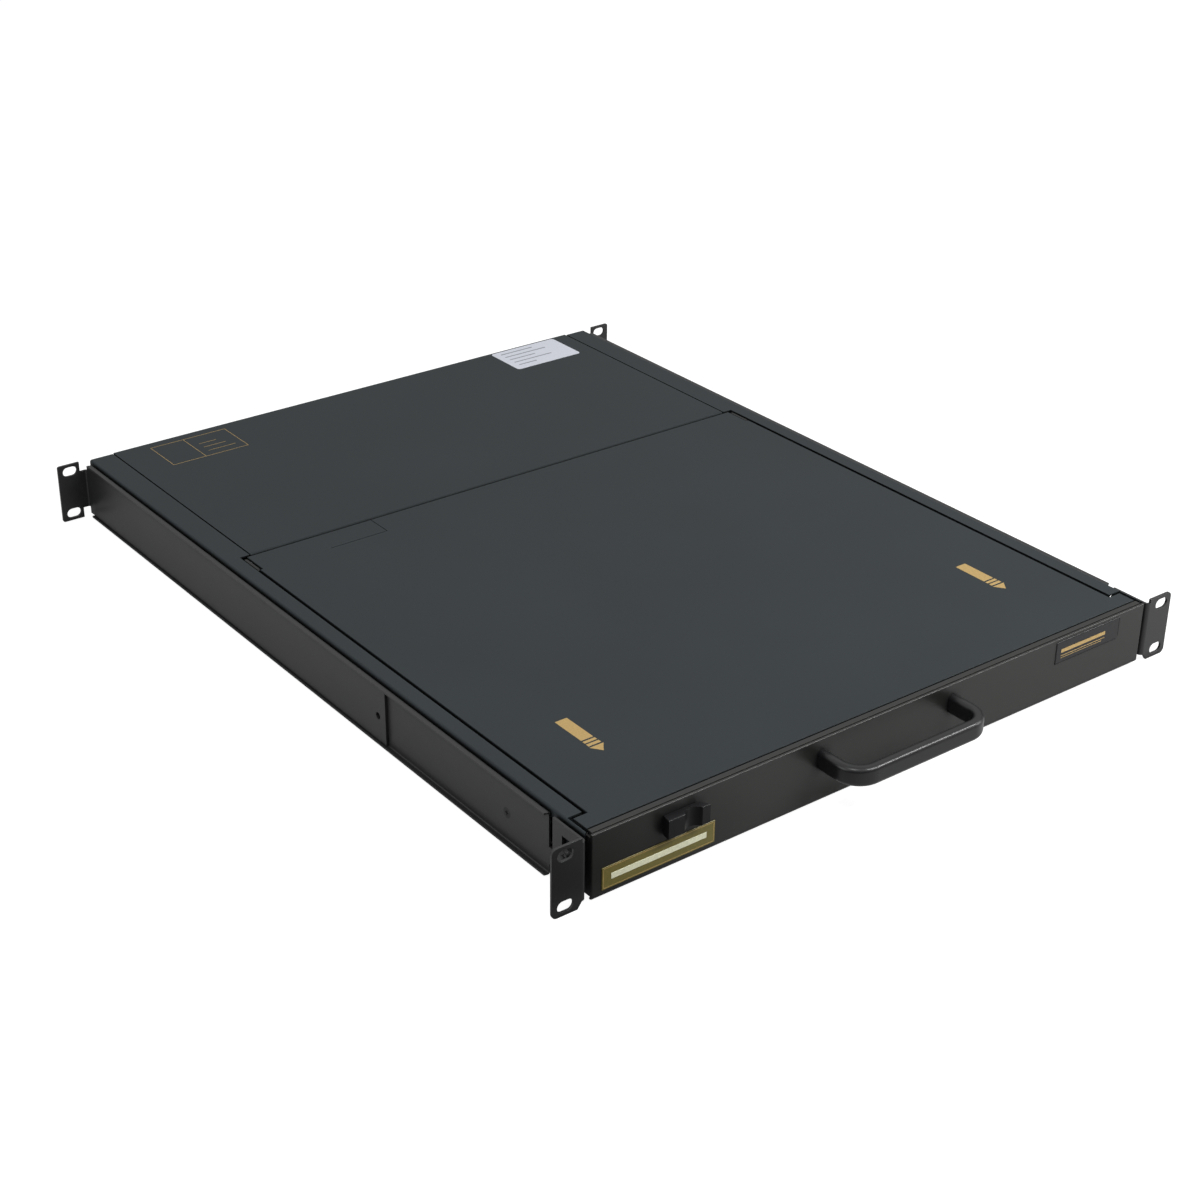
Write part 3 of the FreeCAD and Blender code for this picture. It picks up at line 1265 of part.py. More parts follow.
# ---------------------------------------------------------------- assembly
def build():
    add_pair("rail", rail())
    add_pair("front_ear", front_ear())
    add_pair("rear_bracket", rear_bracket())
    add_pair("slide_outer", outer_slide())
    add_pair("slide_middle", middle_slide())
    add_pair("slide_inner", inner_slide())
    add("ball_cages_right", *ball_cages())
    add("ball_cages_left", *[mirrored(cage) for cage in ball_cages()])
    add("rail_screws", *rail_screws(), *[mirrored(screw) for screw in rail_screws()])
    add_pair("side_frame", side_frame())
    add("bottom_pan", bottom_pan())
    add("front_panel", front_panel())
    add("handle", handle())
    add("handle_screws", *handle_screws())
    add("latch_knob", latch_knob())
    add("latch_bolt", latch_bolt())
    add("latch_guide", *latch_guide())
    add("lid_cover", lid_cover())
    add("hinge_cable_cover", cable_cover_block(0.0))
    add("lcd_bezel", lcd_bezel())
    add("lcd_module", lcd_module())
    add("lcd_screen", screen_block(0.0, bezel_top_z, bezel_top_z + screen_thickness))
    for name, x in zip(("menu_button", "down_button", "up_button"), menu_xs):
        add(name, menu_button(x))
    add_pair("hinge_block", hinge_block())
    add_pair("hinge_plate", hinge_plate_piece())
    add("hinge_pins", hinge_pin(), mirrored(hinge_pin()))
    keyboard_rows()
    add("keyboard_base", keyboard_base())
    add("keyboard_deck", keyboard_deck())
    add("touchpad", touchpad())
    add("touch_button_left", click_button(-1))
    add("touch_button_right", click_button(1))
    add("lid_bumpers", *lid_bumpers())
    add("partition_wall", partition_wall())
    add("rear_cover", rear_cover())
    add("cover_screws", *cover_screws())
    add("rear_panel", rear_panel())
    add("power_inlet", power_inlet())
    add("power_switch", power_switch())
    add("video_socket", video_socket())
    add("usb_sockets", *[usb_socket(x) for x in usb_xs])
    add("power_supply", power_supply())
    add("main_board", main_board())


build()
os.makedirs("parts", exist_ok=True)
for node, shape in parts.items():
    shape.exportStep("parts/%s.step" % node)
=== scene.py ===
import json
import math

import bmesh
import bpy
from bpy.props import FloatProperty, FloatVectorProperty, PointerProperty
from mathutils import Matrix, Vector

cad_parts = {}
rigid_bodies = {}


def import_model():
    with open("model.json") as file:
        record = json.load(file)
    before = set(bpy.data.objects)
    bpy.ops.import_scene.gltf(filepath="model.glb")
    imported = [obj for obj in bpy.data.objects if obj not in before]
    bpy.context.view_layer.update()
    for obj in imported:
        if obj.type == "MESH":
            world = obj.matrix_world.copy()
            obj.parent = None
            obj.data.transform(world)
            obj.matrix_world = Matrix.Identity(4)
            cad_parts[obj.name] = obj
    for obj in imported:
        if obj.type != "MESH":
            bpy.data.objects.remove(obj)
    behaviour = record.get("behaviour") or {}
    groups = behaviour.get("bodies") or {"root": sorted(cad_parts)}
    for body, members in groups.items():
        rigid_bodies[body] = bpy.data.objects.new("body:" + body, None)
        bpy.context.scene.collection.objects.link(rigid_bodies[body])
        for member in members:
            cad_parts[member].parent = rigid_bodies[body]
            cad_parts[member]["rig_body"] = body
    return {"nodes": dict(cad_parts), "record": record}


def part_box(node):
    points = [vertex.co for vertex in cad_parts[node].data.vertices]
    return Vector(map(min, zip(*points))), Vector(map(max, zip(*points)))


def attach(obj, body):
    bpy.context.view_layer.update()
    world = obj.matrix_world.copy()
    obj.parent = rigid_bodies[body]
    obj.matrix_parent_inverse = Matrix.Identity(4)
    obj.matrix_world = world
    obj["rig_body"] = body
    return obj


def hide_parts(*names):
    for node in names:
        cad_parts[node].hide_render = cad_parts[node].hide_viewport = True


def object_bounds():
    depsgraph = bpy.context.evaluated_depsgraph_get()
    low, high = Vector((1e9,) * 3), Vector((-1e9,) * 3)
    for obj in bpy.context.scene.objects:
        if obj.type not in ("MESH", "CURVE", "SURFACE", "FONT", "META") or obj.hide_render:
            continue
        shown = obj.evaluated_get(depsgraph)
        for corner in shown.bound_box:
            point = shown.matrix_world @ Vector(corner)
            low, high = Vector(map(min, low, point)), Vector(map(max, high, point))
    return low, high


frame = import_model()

bl_info = {
    "name": "Rack console drawer",
    "version": (1, 0, 0),
    "blender": (4, 5, 0),
    "location": "3D View > Sidebar > Console",
    "description": "Finishes a one-unit rack drawer with a folding screen and keyboard",
    "category": "Add Mesh",
}

FRAME_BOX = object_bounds()
MM = 0.001
SHARP = 35.0             # degrees between faces, past which an edge is eased or shaded sharp
PRINT = 0.05             # millimetres that a mark is sunk into its face, and an arrow stands proud
CAP_HEIGHT = 6.0         # millimetres of a key cap above its stem
DISH = 0.35              # millimetres by which the top of a key cap is hollowed
WHITE = (1.0, 1.0, 1.0, 1.0)
MADE = {}                # the finishes that are built so far
LEGENDS = {
    "key_row_1": ("Esc", "F1", "F2", "F3", "F4", "F5", "F6", "F7", "F8", "F9", "F10", "F11", "F12", "Ins",
                  "Del", "Num", "/", "*", "-"),
    "key_row_2": ("`", "1", "2", "3", "4", "5", "6", "7", "8", "9", "0", "-", "=", "", "7", "8", "9", "+"),
    "key_row_3": ("Tab", "Q", "W", "E", "R", "T", "Y", "U", "I", "O", "P", "[", "]", "\\", "4", "5", "6", ""),
    "key_row_4": ("Caps", "A", "S", "D", "F", "G", "H", "J", "K", "L", ";", "'", "Enter", "1", "2", "3", "="),
    "key_row_5": ("Shift", "Z", "X", "C", "V", "B", "N", "M", ",", ".", "/", "Shift", "0", "00", ".", ""),
    "key_row_6": ("Ctrl", "", "Alt", "Alt", "", "", "Ctrl", "0", ".", ""),
    "space_bar": ("",),
}


# ---------------------------------------------------------------- node trees

def node(tree, kind, feeds=None, **settings):
    """A node with its settings, fed by sockets or plain values."""
    made = tree.nodes.new(kind)
    for key, value in settings.items():
        setattr(made, key, value)
    for key, value in (feeds or {}).items():
        if isinstance(value, bpy.types.NodeSocket):
            tree.links.new(value, made.inputs[key])
        else:
            made.inputs[key].default_value = value
    return made


def maths(tree, operation, first, second=0.0, clamp=False):
    """The result of one sum on sockets or plain values."""
    feeds = {0: first, 1: second}
    return node(tree, "ShaderNodeMath", feeds, operation=operation, use_clamp=clamp).outputs[0]


def spread(tree, value, low, high, start=0.0, end=1.0):
    """Carries a value from the range start..end to low..high."""
    feeds = {"Value": value, "From Min": start, "From Max": end, "To Min": low, "To Max": high}
    return node(tree, "ShaderNodeMapRange", feeds).outputs["Result"]


def blend_colour(tree, share, first, second):
    """The first colour, carried to the second as share goes from 0 to 1."""
    return node(tree, "ShaderNodeMix", {0: share, 6: first, 7: second}, data_type="RGBA").outputs[2]


def object_point(tree):
    return node(tree, "ShaderNodeTexCoord").outputs["Object"]


def grey(level):
    return (level, level, level, 1.0)


def shared_group(name, inputs, outputs, fill):
    """A node group with named sockets, built once."""
    if name in bpy.data.node_groups:
        return bpy.data.node_groups[name]
    group = bpy.data.node_groups.new(name, "ShaderNodeTree")
    for label, default in inputs:
        socket = group.interface.new_socket(label, in_out="INPUT", socket_type="NodeSocketFloat")
        socket.default_value = default
    for label in outputs:
        group.interface.new_socket(label, in_out="OUTPUT", socket_type="NodeSocketFloat")
    start = group.nodes.new("NodeGroupInput")
    end = group.nodes.new("NodeGroupOutput")
    for label, socket in fill(group, start.outputs).items():
        group.links.new(socket, end.inputs[label])
    return group


def noise(tree, point, size, detail=2.0, roughness=0.5):
    """Noise whose patches are about size across."""
    scale = maths(tree, "DIVIDE", 1.0, size)
    feeds = {"Vector": point, "Scale": scale, "Detail": detail, "Roughness": roughness}
    return node(tree, "ShaderNodeTexNoise", feeds).outputs[0]


def coat_grain():
    """Fine orange peel of a baked powder coat, with a faint cloud over large areas."""
    def fill(tree, given):
        point = object_point(tree)
        peel = noise(tree, point, given["Grain Size"], 3.0, 0.55)
        cloud = noise(tree, point, given["Cloud Size"], 2.0, 0.5)
        speck = noise(tree, point, maths(tree, "MULTIPLY", given["Grain Size"], 2.6), 1.0)
        tone = maths(
            tree, "ADD", maths(tree, "MULTIPLY", cloud, 0.65), maths(tree, "MULTIPLY", speck, 0.35),
        )
        return {"Height": peel, "Tone": spread(tree, tone, 0.0, 1.0, 0.3, 0.7)}
    inputs = (("Grain Size", 0.0008), ("Cloud Size", 0.09))
    return shared_group("Coat grain", inputs, ("Height", "Tone"), fill)


def edge_wear_and_highlight():
    """Edges broken into patches: where a coat is rubbed thin, and where a painted highlight lightens it."""
    def fill(tree, given):
        soft = node(tree, "ShaderNodeBevel", {"Radius": given["Width"]}, samples=6).outputs[0]
        plain = node(tree, "ShaderNodeNewGeometry").outputs["Normal"]
        alike = node(tree, "ShaderNodeVectorMath", {0: soft, 1: plain}, operation="DOT_PRODUCT")
        turned = maths(tree, "SUBTRACT", 1.0, alike.outputs["Value"])
        edge = maths(tree, "MULTIPLY", turned, 7.0, clamp=True)
        patch = noise(tree, object_point(tree), given["Patch Size"], 4.0, 0.6)
        worn_and_highlit = spread(tree, patch, 0.0, 1.0, 0.38, 0.66)
        return {"Mask": maths(tree, "MULTIPLY", edge, worn_and_highlit)}
    return shared_group("Edge wear and painted highlight", (("Width", 0.0004), ("Patch Size", 0.006)), ("Mask",), fill)


def painted_seam_shade():
    """Painted shade: how open a spot is, so that seams and inner corners, where little light reaches, are
    painted darker.
    """
    def fill(tree, given):
        near = node(tree, "ShaderNodeAmbientOcclusion", {"Distance": given["Reach"]}, samples=6)
        return {"Open": spread(tree, near.outputs["AO"], 0.0, 1.0, 0.55, 0.95)}
    return shared_group("Painted seam shade", (("Reach", 0.004),), ("Open",), fill)


def drawn_lines():
    """Fine lines that rolling and drawing leave along a strip."""
    def fill(tree, given):
        across = maths(tree, "DIVIDE", 1.0, given["Line Size"])
        along = maths(tree, "DIVIDE", across, 60.0)
        scale = node(tree, "ShaderNodeCombineXYZ", {0: across, 1: along, 2: across}).outputs[0]
        feeds = {0: object_point(tree), 1: scale}
        point = node(tree, "ShaderNodeVectorMath", feeds, operation="MULTIPLY").outputs[0]
        lines = node(tree, "ShaderNodeTexNoise", {"Vector": point, "Scale": 1.0, "Detail": 3.0}).outputs[0]
        stain = noise(tree, object_point(tree), given["Stain Size"], 4.0, 0.6)
        return {"Height": lines, "Tone": spread(tree, stain, 0.0, 1.0, 0.3, 0.7)}
    inputs = (("Line Size", 0.0003), ("Stain Size", 0.012))
    return shared_group("Drawn lines", inputs, ("Height", "Tone"), fill)


def moulded_grain():
    """Spark-eroded texture of a moulding, with a slight change of shade."""
    def fill(tree, given):
        point = object_point(tree)
        scale = maths(tree, "DIVIDE", 1.0, given["Grain Size"])
        cells = node(tree, "ShaderNodeTexVoronoi", {"Vector": point, "Scale": scale}).outputs["Distance"]
        fine = noise(tree, point, maths(tree, "MULTIPLY", given["Grain Size"], 0.6), 2.0)
        height = maths(tree, "ADD", cells, maths(tree, "MULTIPLY", fine, 0.5))
        cloud = noise(tree, point, maths(tree, "MULTIPLY", given["Grain Size"], 60.0), 3.0)
        return {"Height": height, "Tone": spread(tree, cloud, 0.0, 1.0, 0.3, 0.7)}
    return shared_group("Moulded grain", (("Grain Size", 0.0004),), ("Height", "Tone"), fill)


def handling_marks():
    """Smears and fine dust that show on a glossy surface."""
    def fill(tree, given):
        point = object_point(tree)
        smear = noise(tree, point, given["Smear Size"], 5.0, 0.65)
        dust = noise(tree, point, 0.0005, 2.0)
        specks = spread(tree, dust, 0.0, 1.0, 0.68, 0.8)
        return {"Smear": spread(tree, smear, 0.0, 1.0, 0.35, 0.7), "Dust": specks}
    return shared_group("Handling marks", (("Smear Size", 0.03),), ("Smear", "Dust"), fill)


# ---------------------------------------------------------------- finishes

def start_material(name):
    material = bpy.data.materials.new(name)
    material.use_nodes = True
    tree = material.node_tree
    return material, tree, tree.nodes["Principled BSDF"]


def placed_group(tree, group, feeds):
    return node(tree, "ShaderNodeGroup", feeds, node_tree=group).outputs


def bump(tree, shader, height, depth):
    made = node(tree, "ShaderNodeBump", {"Height": height, "Distance": depth})
    tree.links.new(made.outputs[0], shader.inputs["Normal"])


def shade(colour, factor):
    """A colour made darker or lighter, with its alpha."""
    return tuple(min(1.0, c * factor) for c in colour[:3]) + (1.0,)


def coated(name, colour, roughness, grain=0.0008, depth=0.00002, wear_and_highlight=0.25, sheen=0.25):
    """Powder-coated sheet: fine peel, faint clouding, edges a little lighter from rubbing and from a painted
    highlight, and painted shade in seams.
    """
    material, tree, shader = start_material(name)
    peel = placed_group(tree, coat_grain(), {"Grain Size": grain, "Cloud Size": 0.09})
    worn_and_highlit = placed_group(tree, edge_wear_and_highlight(), {"Width": 0.0004, "Patch Size": 0.006})
    body = blend_colour(tree, peel["Tone"], shade(colour, 0.93), shade(colour, 1.08))
    # Edges lightened up to fivefold: partly a rubbed coat, partly a painted highlight along the edge
    rubbed_and_highlit = blend_colour(tree, maths(tree, "MULTIPLY", worn_and_highlit["Mask"], wear_and_highlight), body, shade(colour, 5.0))
    # Painted shade: seams and inner corners take the coat colour darkened to 0.08, where little light reaches
    painted_seam = placed_group(tree, painted_seam_shade(), {"Reach": 0.006})
    shaded = blend_colour(tree, painted_seam["Open"], shade(colour, 0.08), rubbed_and_highlit)
    tree.links.new(shaded, shader.inputs["Base Color"])
    rough = spread(tree, peel["Tone"], roughness - 0.03, roughness + 0.03)
    closed = maths(tree, "MULTIPLY", maths(tree, "SUBTRACT", 1.0, painted_seam["Open"]), 0.3)
    tree.links.new(maths(tree, "ADD", rough, closed), shader.inputs["Roughness"])
    shader.inputs["Specular IOR Level"].default_value = sheen
    bump(tree, shader, peel["Height"], depth)
    return material


def plated(name, colour, roughness, stain=0.75, line=0.0003):
    """Plated or bare strip with drawing lines and a faint stain."""
    material, tree, shader = start_material(name)
    lines = placed_group(tree, drawn_lines(), {"Line Size": line, "Stain Size": 0.012})
    body = blend_colour(tree, lines["Tone"], shade(colour, stain), shade(colour, 1.0))
    tree.links.new(body, shader.inputs["Base Color"])
    rough = spread(tree, lines["Tone"], roughness + 0.08, roughness - 0.04)
    tree.links.new(rough, shader.inputs["Roughness"])
    shader.inputs["Metallic"].default_value = 1.0
    bump(tree, shader, lines["Height"], 0.000006)
    return material


def moulded(name, colour, roughness, grain=0.0004, depth=0.000012, sheen=0.5):
    """Moulded plastic with a fine spark texture, polished where fingers rub it."""
    material, tree, shader = start_material(name)
    texture = placed_group(tree, moulded_grain(), {"Grain Size": grain})
    worn_and_highlit = placed_group(tree, edge_wear_and_highlight(), {"Width": 0.0005, "Patch Size": 0.004})
    body = blend_colour(tree, texture["Tone"], shade(colour, 0.9), shade(colour, 1.12))
    rubbed_and_highlit = blend_colour(tree, maths(tree, "MULTIPLY", worn_and_highlit["Mask"], 0.3), body, shade(colour, 2.2))
    tree.links.new(rubbed_and_highlit, shader.inputs["Base Color"])
    polish = maths(tree, "MULTIPLY", worn_and_highlit["Mask"], 0.2)
    grained = spread(tree, texture["Tone"], roughness - 0.04, roughness + 0.04)
    tree.links.new(maths(tree, "SUBTRACT", grained, polish), shader.inputs["Roughness"])
    shader.inputs["Specular IOR Level"].default_value = sheen
    bump(tree, shader, texture["Height"], depth)
    return material


def glossy(name, colour, roughness, smear, sheen=0.5):
    """Smooth gloss with faint smears and a little dust."""
    material, tree, shader = start_material(name)
    marks = placed_group(tree, handling_marks(), {"Smear Size": 0.03})
    dusty = maths(tree, "MULTIPLY", marks["Dust"], 0.12)
    body = blend_colour(tree, dusty, shade(colour, 1.0), grey(0.3))
    tree.links.new(body, shader.inputs["Base Color"])
    rough = spread(tree, marks["Smear"], roughness, roughness + smear)
    tree.links.new(rough, shader.inputs["Roughness"])
    shader.inputs["Specular IOR Level"].default_value = sheen
    return material


def printed(name, colour, roughness, fade=0.12):
    """Screen-printed ink or a printed face, slightly uneven."""
    material, tree, shader = start_material(name)
    cover = noise(tree, object_point(tree), 0.0011, 4.0, 0.6)
    patch = spread(tree, cover, 0.0, 1.0, 0.35, 0.65)
    body = blend_colour(tree, patch, shade(colour, 1.0 - fade), shade(colour, 1.0 + fade * 0.4))
    tree.links.new(body, shader.inputs["Base Color"])
    tree.links.new(spread(tree, patch, roughness + 0.06, roughness - 0.04), shader.inputs["Roughness"])
    bump(tree, shader, cover, 0.000004)
    return material


FINISHES = {
    "chassis_coat": lambda look: coated("Chassis powder coat", look.chassis_colour, 0.42, sheen=0.1),
    "panel_coat": lambda look: coated("Panel powder coat", look.panel_colour, 0.34, wear_and_highlight=0.5, sheen=0.42),
    "rail_coat": lambda look: coated("Rail powder coat", look.rail_colour, 0.38, wear_and_highlight=0.4, sheen=0.48),
    "slide_zinc": lambda look: plated("Bright zinc", (0.62, 0.63, 0.64), 0.28),
    "screw_black": lambda look: coated(
        "Black oxide", (0.012, 0.012, 0.013), 0.34, grain=0.0003, depth=0.000006, wear_and_highlight=0.5,
    ),
    "screw_zinc": lambda look: plated("Zinc plate", (0.58, 0.58, 0.57), 0.3, stain=0.8, line=0.0002),
    "handle_black": lambda look: glossy("Handle gloss", look.handle_colour, 0.27, smear=0.06, sheen=0.42),
    "knob_black": lambda look: moulded("Knob moulding", (0.008, 0.008, 0.009), 0.34, sheen=0.2),
    "bezel_plastic": lambda look: moulded("Bezel moulding", (0.016, 0.016, 0.018), 0.45),
    "module_steel": lambda look: plated("Module tinplate", (0.5, 0.51, 0.52), 0.34, stain=0.85),
    "screen_glass": lambda look: glossy("Screen face", (0.006, 0.007, 0.009), 0.12, smear=0.06),
    "key_plastic": lambda look: moulded(
        "Key moulding", (0.014, 0.014, 0.016), 0.42, grain=0.0003, depth=0.000008,
    ),
    "pad_plastic": lambda look: moulded(
        "Touchpad film", (0.035, 0.036, 0.039), 0.45, grain=0.0002, depth=0.000005,
    ),
    "bumper_rubber": lambda look: moulded(
        "Bumper rubber", (0.018, 0.018, 0.018), 0.7, grain=0.0006, depth=0.00002,
    ),
    "board_green": lambda look: glossy("Solder mask", (0.012, 0.085, 0.035), 0.3, smear=0.15),
    "socket_black": lambda look: moulded("Socket moulding", (0.012, 0.012, 0.013), 0.38),
    "socket_shell": lambda look: plated("Nickel plate", (0.7, 0.69, 0.67), 0.22, stain=0.85, line=0.0002),
    "cage_plastic": lambda look: moulded("Cage moulding", (0.7, 0.69, 0.62), 0.45),
    "gold_ink": lambda look: printed("Gold ink", look.gold_colour, 0.45),
    "plate_olive": lambda look: printed("Plate enamel", look.plate_colour, 0.4),
    "plate_cream": lambda look: printed("Plate cream", look.cream_colour, 0.4),
    "paper_white": lambda look: printed("Sticker paper", (0.72, 0.745, 0.82), 0.5, fade=0.05),
    "print_grey": lambda look: printed("Sticker print", (0.30, 0.32, 0.36), 0.5),
    "badge_black": lambda look: glossy("Badge face", (0.008, 0.008, 0.010), 0.3, smear=0.1, sheen=0.35),
    "legend_white": lambda look: printed("Legend ink", (0.62, 0.63, 0.63), 0.5),
    "steel_ball": lambda look: plated("Ball steel", (0.72, 0.72, 0.72), 0.12, stain=0.9, line=0.0005),
    "chip_black": lambda look: moulded("Chip moulding", (0.02, 0.02, 0.022), 0.4),
}


def finish_of(name):
    """The material of that finish, built once."""
    if name not in MADE:
        MADE[name] = FINISHES[name](bpy.context.scene.console_looks)
    return MADE[name]


# ---------------------------------------------------------------- mesh pieces

def keep_piece(bm, name, body, finish, smooth=SHARP, stands_for=()):
    """Turns a bmesh into a piece that rides on a body."""
    mesh = bpy.data.meshes.new(name)
    bm.to_mesh(mesh)
    bm.free()
    mesh.shade_smooth()
    mesh.set_sharp_from_angle(angle=math.radians(smooth))
    piece = bpy.data.objects.new(name, mesh)
    bpy.context.scene.collection.objects.link(piece)
    mesh.materials.append(finish_of(finish))
    level = piece.modifiers.new("Level shading", "WEIGHTED_NORMAL")
    level.keep_sharp = True
    level.weight = 100
    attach(piece, body)
    if stands_for:
        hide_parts(*stands_for)
    return piece


def body_of(part):
    return frame["nodes"][part]["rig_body"]


def slot_of(part):
    for entry in frame["record"]["subparts"]:
        if entry["node"] == part:
            return entry["material_slot"]
    raise ValueError("no material slot for " + part)


def merged_copy(part):
    """The part's solid as one closed bmesh with whole faces."""
    bm = bmesh.new()
    bm.from_mesh(frame["nodes"][part].data)
    bmesh.ops.remove_doubles(bm, verts=bm.verts, dist=0.000001)
    bmesh.ops.dissolve_limit(bm, angle_limit=math.radians(0.5), verts=bm.verts, edges=bm.edges)
    return bm


def ease_edges(bm, width, segments=2):
    """Rounds the sharp edges by a width in millimetres."""
    limit = math.radians(SHARP)
    sharp = [e for e in bm.edges if e.is_manifold and e.calc_face_angle() > limit]
    bmesh.ops.bevel(
        bm, geom=sharp, offset=width * MM, offset_type="OFFSET", segments=segments,
        profile=0.5, affect="EDGES", clamp_overlap=True, material=-1,
    )


def keep_finished(bm, part):
    """Keeps a bmesh as the piece that stands for a part in the part's own finish."""
    slot = slot_of(part)
    return keep_piece(bm, part + "_finished", body_of(part), slot, stands_for=(part,))


def finished(part, edge=0.25, segments=2):
    """A finished piece on the part's own shape, with edges eased by millimetres."""
    bm = merged_copy(part)
    if edge:
        ease_edges(bm, edge, segments)
    return keep_finished(bm, part)


def middle_of(low, high):
    """The middle between two corners, in millimetres."""
    return [(a + b) / 2 / MM for a, b in zip(low, high)]


def slab(bm, low, high):
    """A block between two corners in millimetres."""
    low, high = Vector(low) * MM, Vector(high) * MM
    size = Matrix.Diagonal((*(high - low), 1.0))
    bmesh.ops.create_cube(bm, size=1.0, matrix=Matrix.Translation((low + high) / 2) @ size)


def drum(bm, centre, axis, radius, length, segments):
    """A cylinder in millimetres about its middle, along an axis."""
    turn = Vector((0.0, 0.0, 1.0)).rotation_difference(Vector(axis)).to_matrix().to_4x4()
    bmesh.ops.create_cone(
        bm, cap_ends=True, segments=segments, radius1=radius * MM, radius2=radius * MM,
        depth=length * MM, matrix=Matrix.Translation(Vector(centre) * MM) @ turn,
    )


def prism(bm, place, radius, depth):
    """A three-sided arrow head, its lengths in metres."""
    bmesh.ops.create_cone(
        bm, cap_ends=True, segments=3, radius1=radius, radius2=radius, depth=depth, matrix=place,
    )


def carve(bm, cutters):
    """Cuts one bmesh out of another."""
    objects = []
    for label, source in (("work", bm), ("cutter", cutters)):
        mesh = bpy.data.meshes.new(label)
        source.to_mesh(mesh)
        source.free()
        thing = bpy.data.objects.new(label, mesh)
        bpy.context.scene.collection.objects.link(thing)
        objects.append(thing)
    work, cutter = objects
    modifier = work.modifiers.new("cut", "BOOLEAN")
    modifier.object = cutter
    modifier.solver = "EXACT"
    seen = work.evaluated_get(bpy.context.evaluated_depsgraph_get())
    result = bmesh.new()
    result.from_mesh(seen.to_mesh())
    seen.to_mesh_clear()
    for thing in objects:
        mesh = thing.data
        bpy.data.objects.remove(thing)
        bpy.data.meshes.remove(mesh)
    return result


def islands(bm):
    """Corner pairs of the separate solids in a bmesh, from left to right, then front to back."""
    left = set(bm.verts)
    boxes = []
    while left:
        group = []
        heap = [left.pop()]
        while heap:
            vert = heap.pop()
            group.append(vert.co)
            for edge in vert.link_edges:
                other = edge.other_vert(vert)
                if other in left:
                    left.remove(other)
                    heap.append(other)
        low = Vector([min(co[i] for co in group) for i in range(3)])
        high = Vector([max(co[i] for co in group) for i in range(3)])
        boxes.append((low, high))
    return sorted(boxes, key=lambda pair: tuple(pair[0]))


def lettering(bm, text, centre, height):
    """Flat raised letters about a point, read from the front."""
    curve = bpy.data.curves.new("legend", "FONT")
    curve.body = text
    curve.size = height
    curve.align_x = "CENTER"
    curve.align_y = "CENTER"
    curve.resolution_u = 2
    curve.extrude = 0.02 * MM
    holder = bpy.data.objects.new("legend", curve)
    bpy.context.scene.collection.objects.link(holder)
    shown = holder.evaluated_get(bpy.context.evaluated_depsgraph_get())
    mesh = bpy.data.meshes.new_from_object(shown)
    mesh.transform(Matrix.Translation(centre))
    bm.from_mesh(mesh)
    bpy.data.objects.remove(holder)
    bpy.data.curves.remove(curve)
    bpy.data.meshes.remove(mesh)


def recess_bar(bm, centre, axis, crossways, width=3.2, depth=0.9, slot_wide=0.8):
    """Cutter for one bar of the cross recess in a head whose face is at centre."""
    way = Vector(axis)
    side = Vector((0, 1, 0)) if abs(way.x) > 0.5 else Vector((1, 0, 0))
    along, across = (way.cross(side), side) if crossways else (side, way.cross(side))
    half = along * width / 2 + across * slot_wide / 2 + way * depth
    half = Vector([abs(c) for c in half])
    slab(bm, Vector(centre) - half, Vector(centre) + half)


# ---------------------------------------------------------------- settings

class ConsoleLooks(bpy.types.PropertyGroup):
    chassis_colour: FloatVectorProperty(
        name="Chassis", description="Powder coat of the lid, covers and sides",
        default=(0.029, 0.035, 0.038), size=3, min=0.0, max=1.0, subtype="COLOR",
    )
    panel_colour: FloatVectorProperty(
        name="Front panel", description="Powder coat of the front panel and deck",
        default=(0.012, 0.012, 0.011), size=3, min=0.0, max=1.0, subtype="COLOR",
    )
    rail_colour: FloatVectorProperty(
        name="Rails", description="Powder coat of the rails, ears and brackets",
        default=(0.015, 0.015, 0.016), size=3, min=0.0, max=1.0, subtype="COLOR",
    )
    handle_colour: FloatVectorProperty(
        name="Handle", description="Glossy black of the pull handle",
        default=(0.005, 0.005, 0.006), size=3, min=0.0, max=1.0, subtype="COLOR",
    )
    gold_colour: FloatVectorProperty(
        name="Printing", description="Gold ink of the arrows and frames",
        default=(0.46, 0.31, 0.112), size=3, min=0.0, max=1.0, subtype="COLOR",
    )
    plate_colour: FloatVectorProperty(
        name="Plate", description="Olive enamel of the front plate",
        default=(0.160, 0.133, 0.031), size=3, min=0.0, max=1.0, subtype="COLOR",
    )
    cream_colour: FloatVectorProperty(
        name="Plate marks", description="Pale raised marks of the front plate",
        default=(0.800, 0.800, 0.578), size=3, min=0.0, max=1.0, subtype="COLOR",
    )


class ConsoleStage(bpy.types.PropertyGroup):
    azimuth: FloatProperty(
        name="Azimuth", description="Side from which the camera looks",
        default=math.radians(-37.596), subtype="ANGLE",
    )
    elevation: FloatProperty(
        name="Elevation", description="Height of the camera above the horizon",
        default=math.radians(27.935), subtype="ANGLE",
    )
    roll: FloatProperty(
        name="Roll", description="Turn of the camera about its own line of sight",
        default=math.radians(0.652), subtype="ANGLE",
    )
    distance: FloatProperty(
        name="Distance", description="Camera to the point that it looks at",
        default=1.3948, min=0.1, unit="LENGTH",
    )
    lens: FloatProperty(
        name="Lens", description="Focal length in millimetres", default=65.24, min=1.0,
    )
    target: FloatVectorProperty(
        name="Target", description="Point in the middle of the view",
        default=(-0.03097, 0.23528, 0.0), size=3, subtype="TRANSLATION",
    )
    floor_drop: FloatProperty(
        name="Floor gap", description="Floor below the lowest point of the object",
        default=0.0002, min=0.0, unit="LENGTH",
    )


# ---------------------------------------------------------------- operators

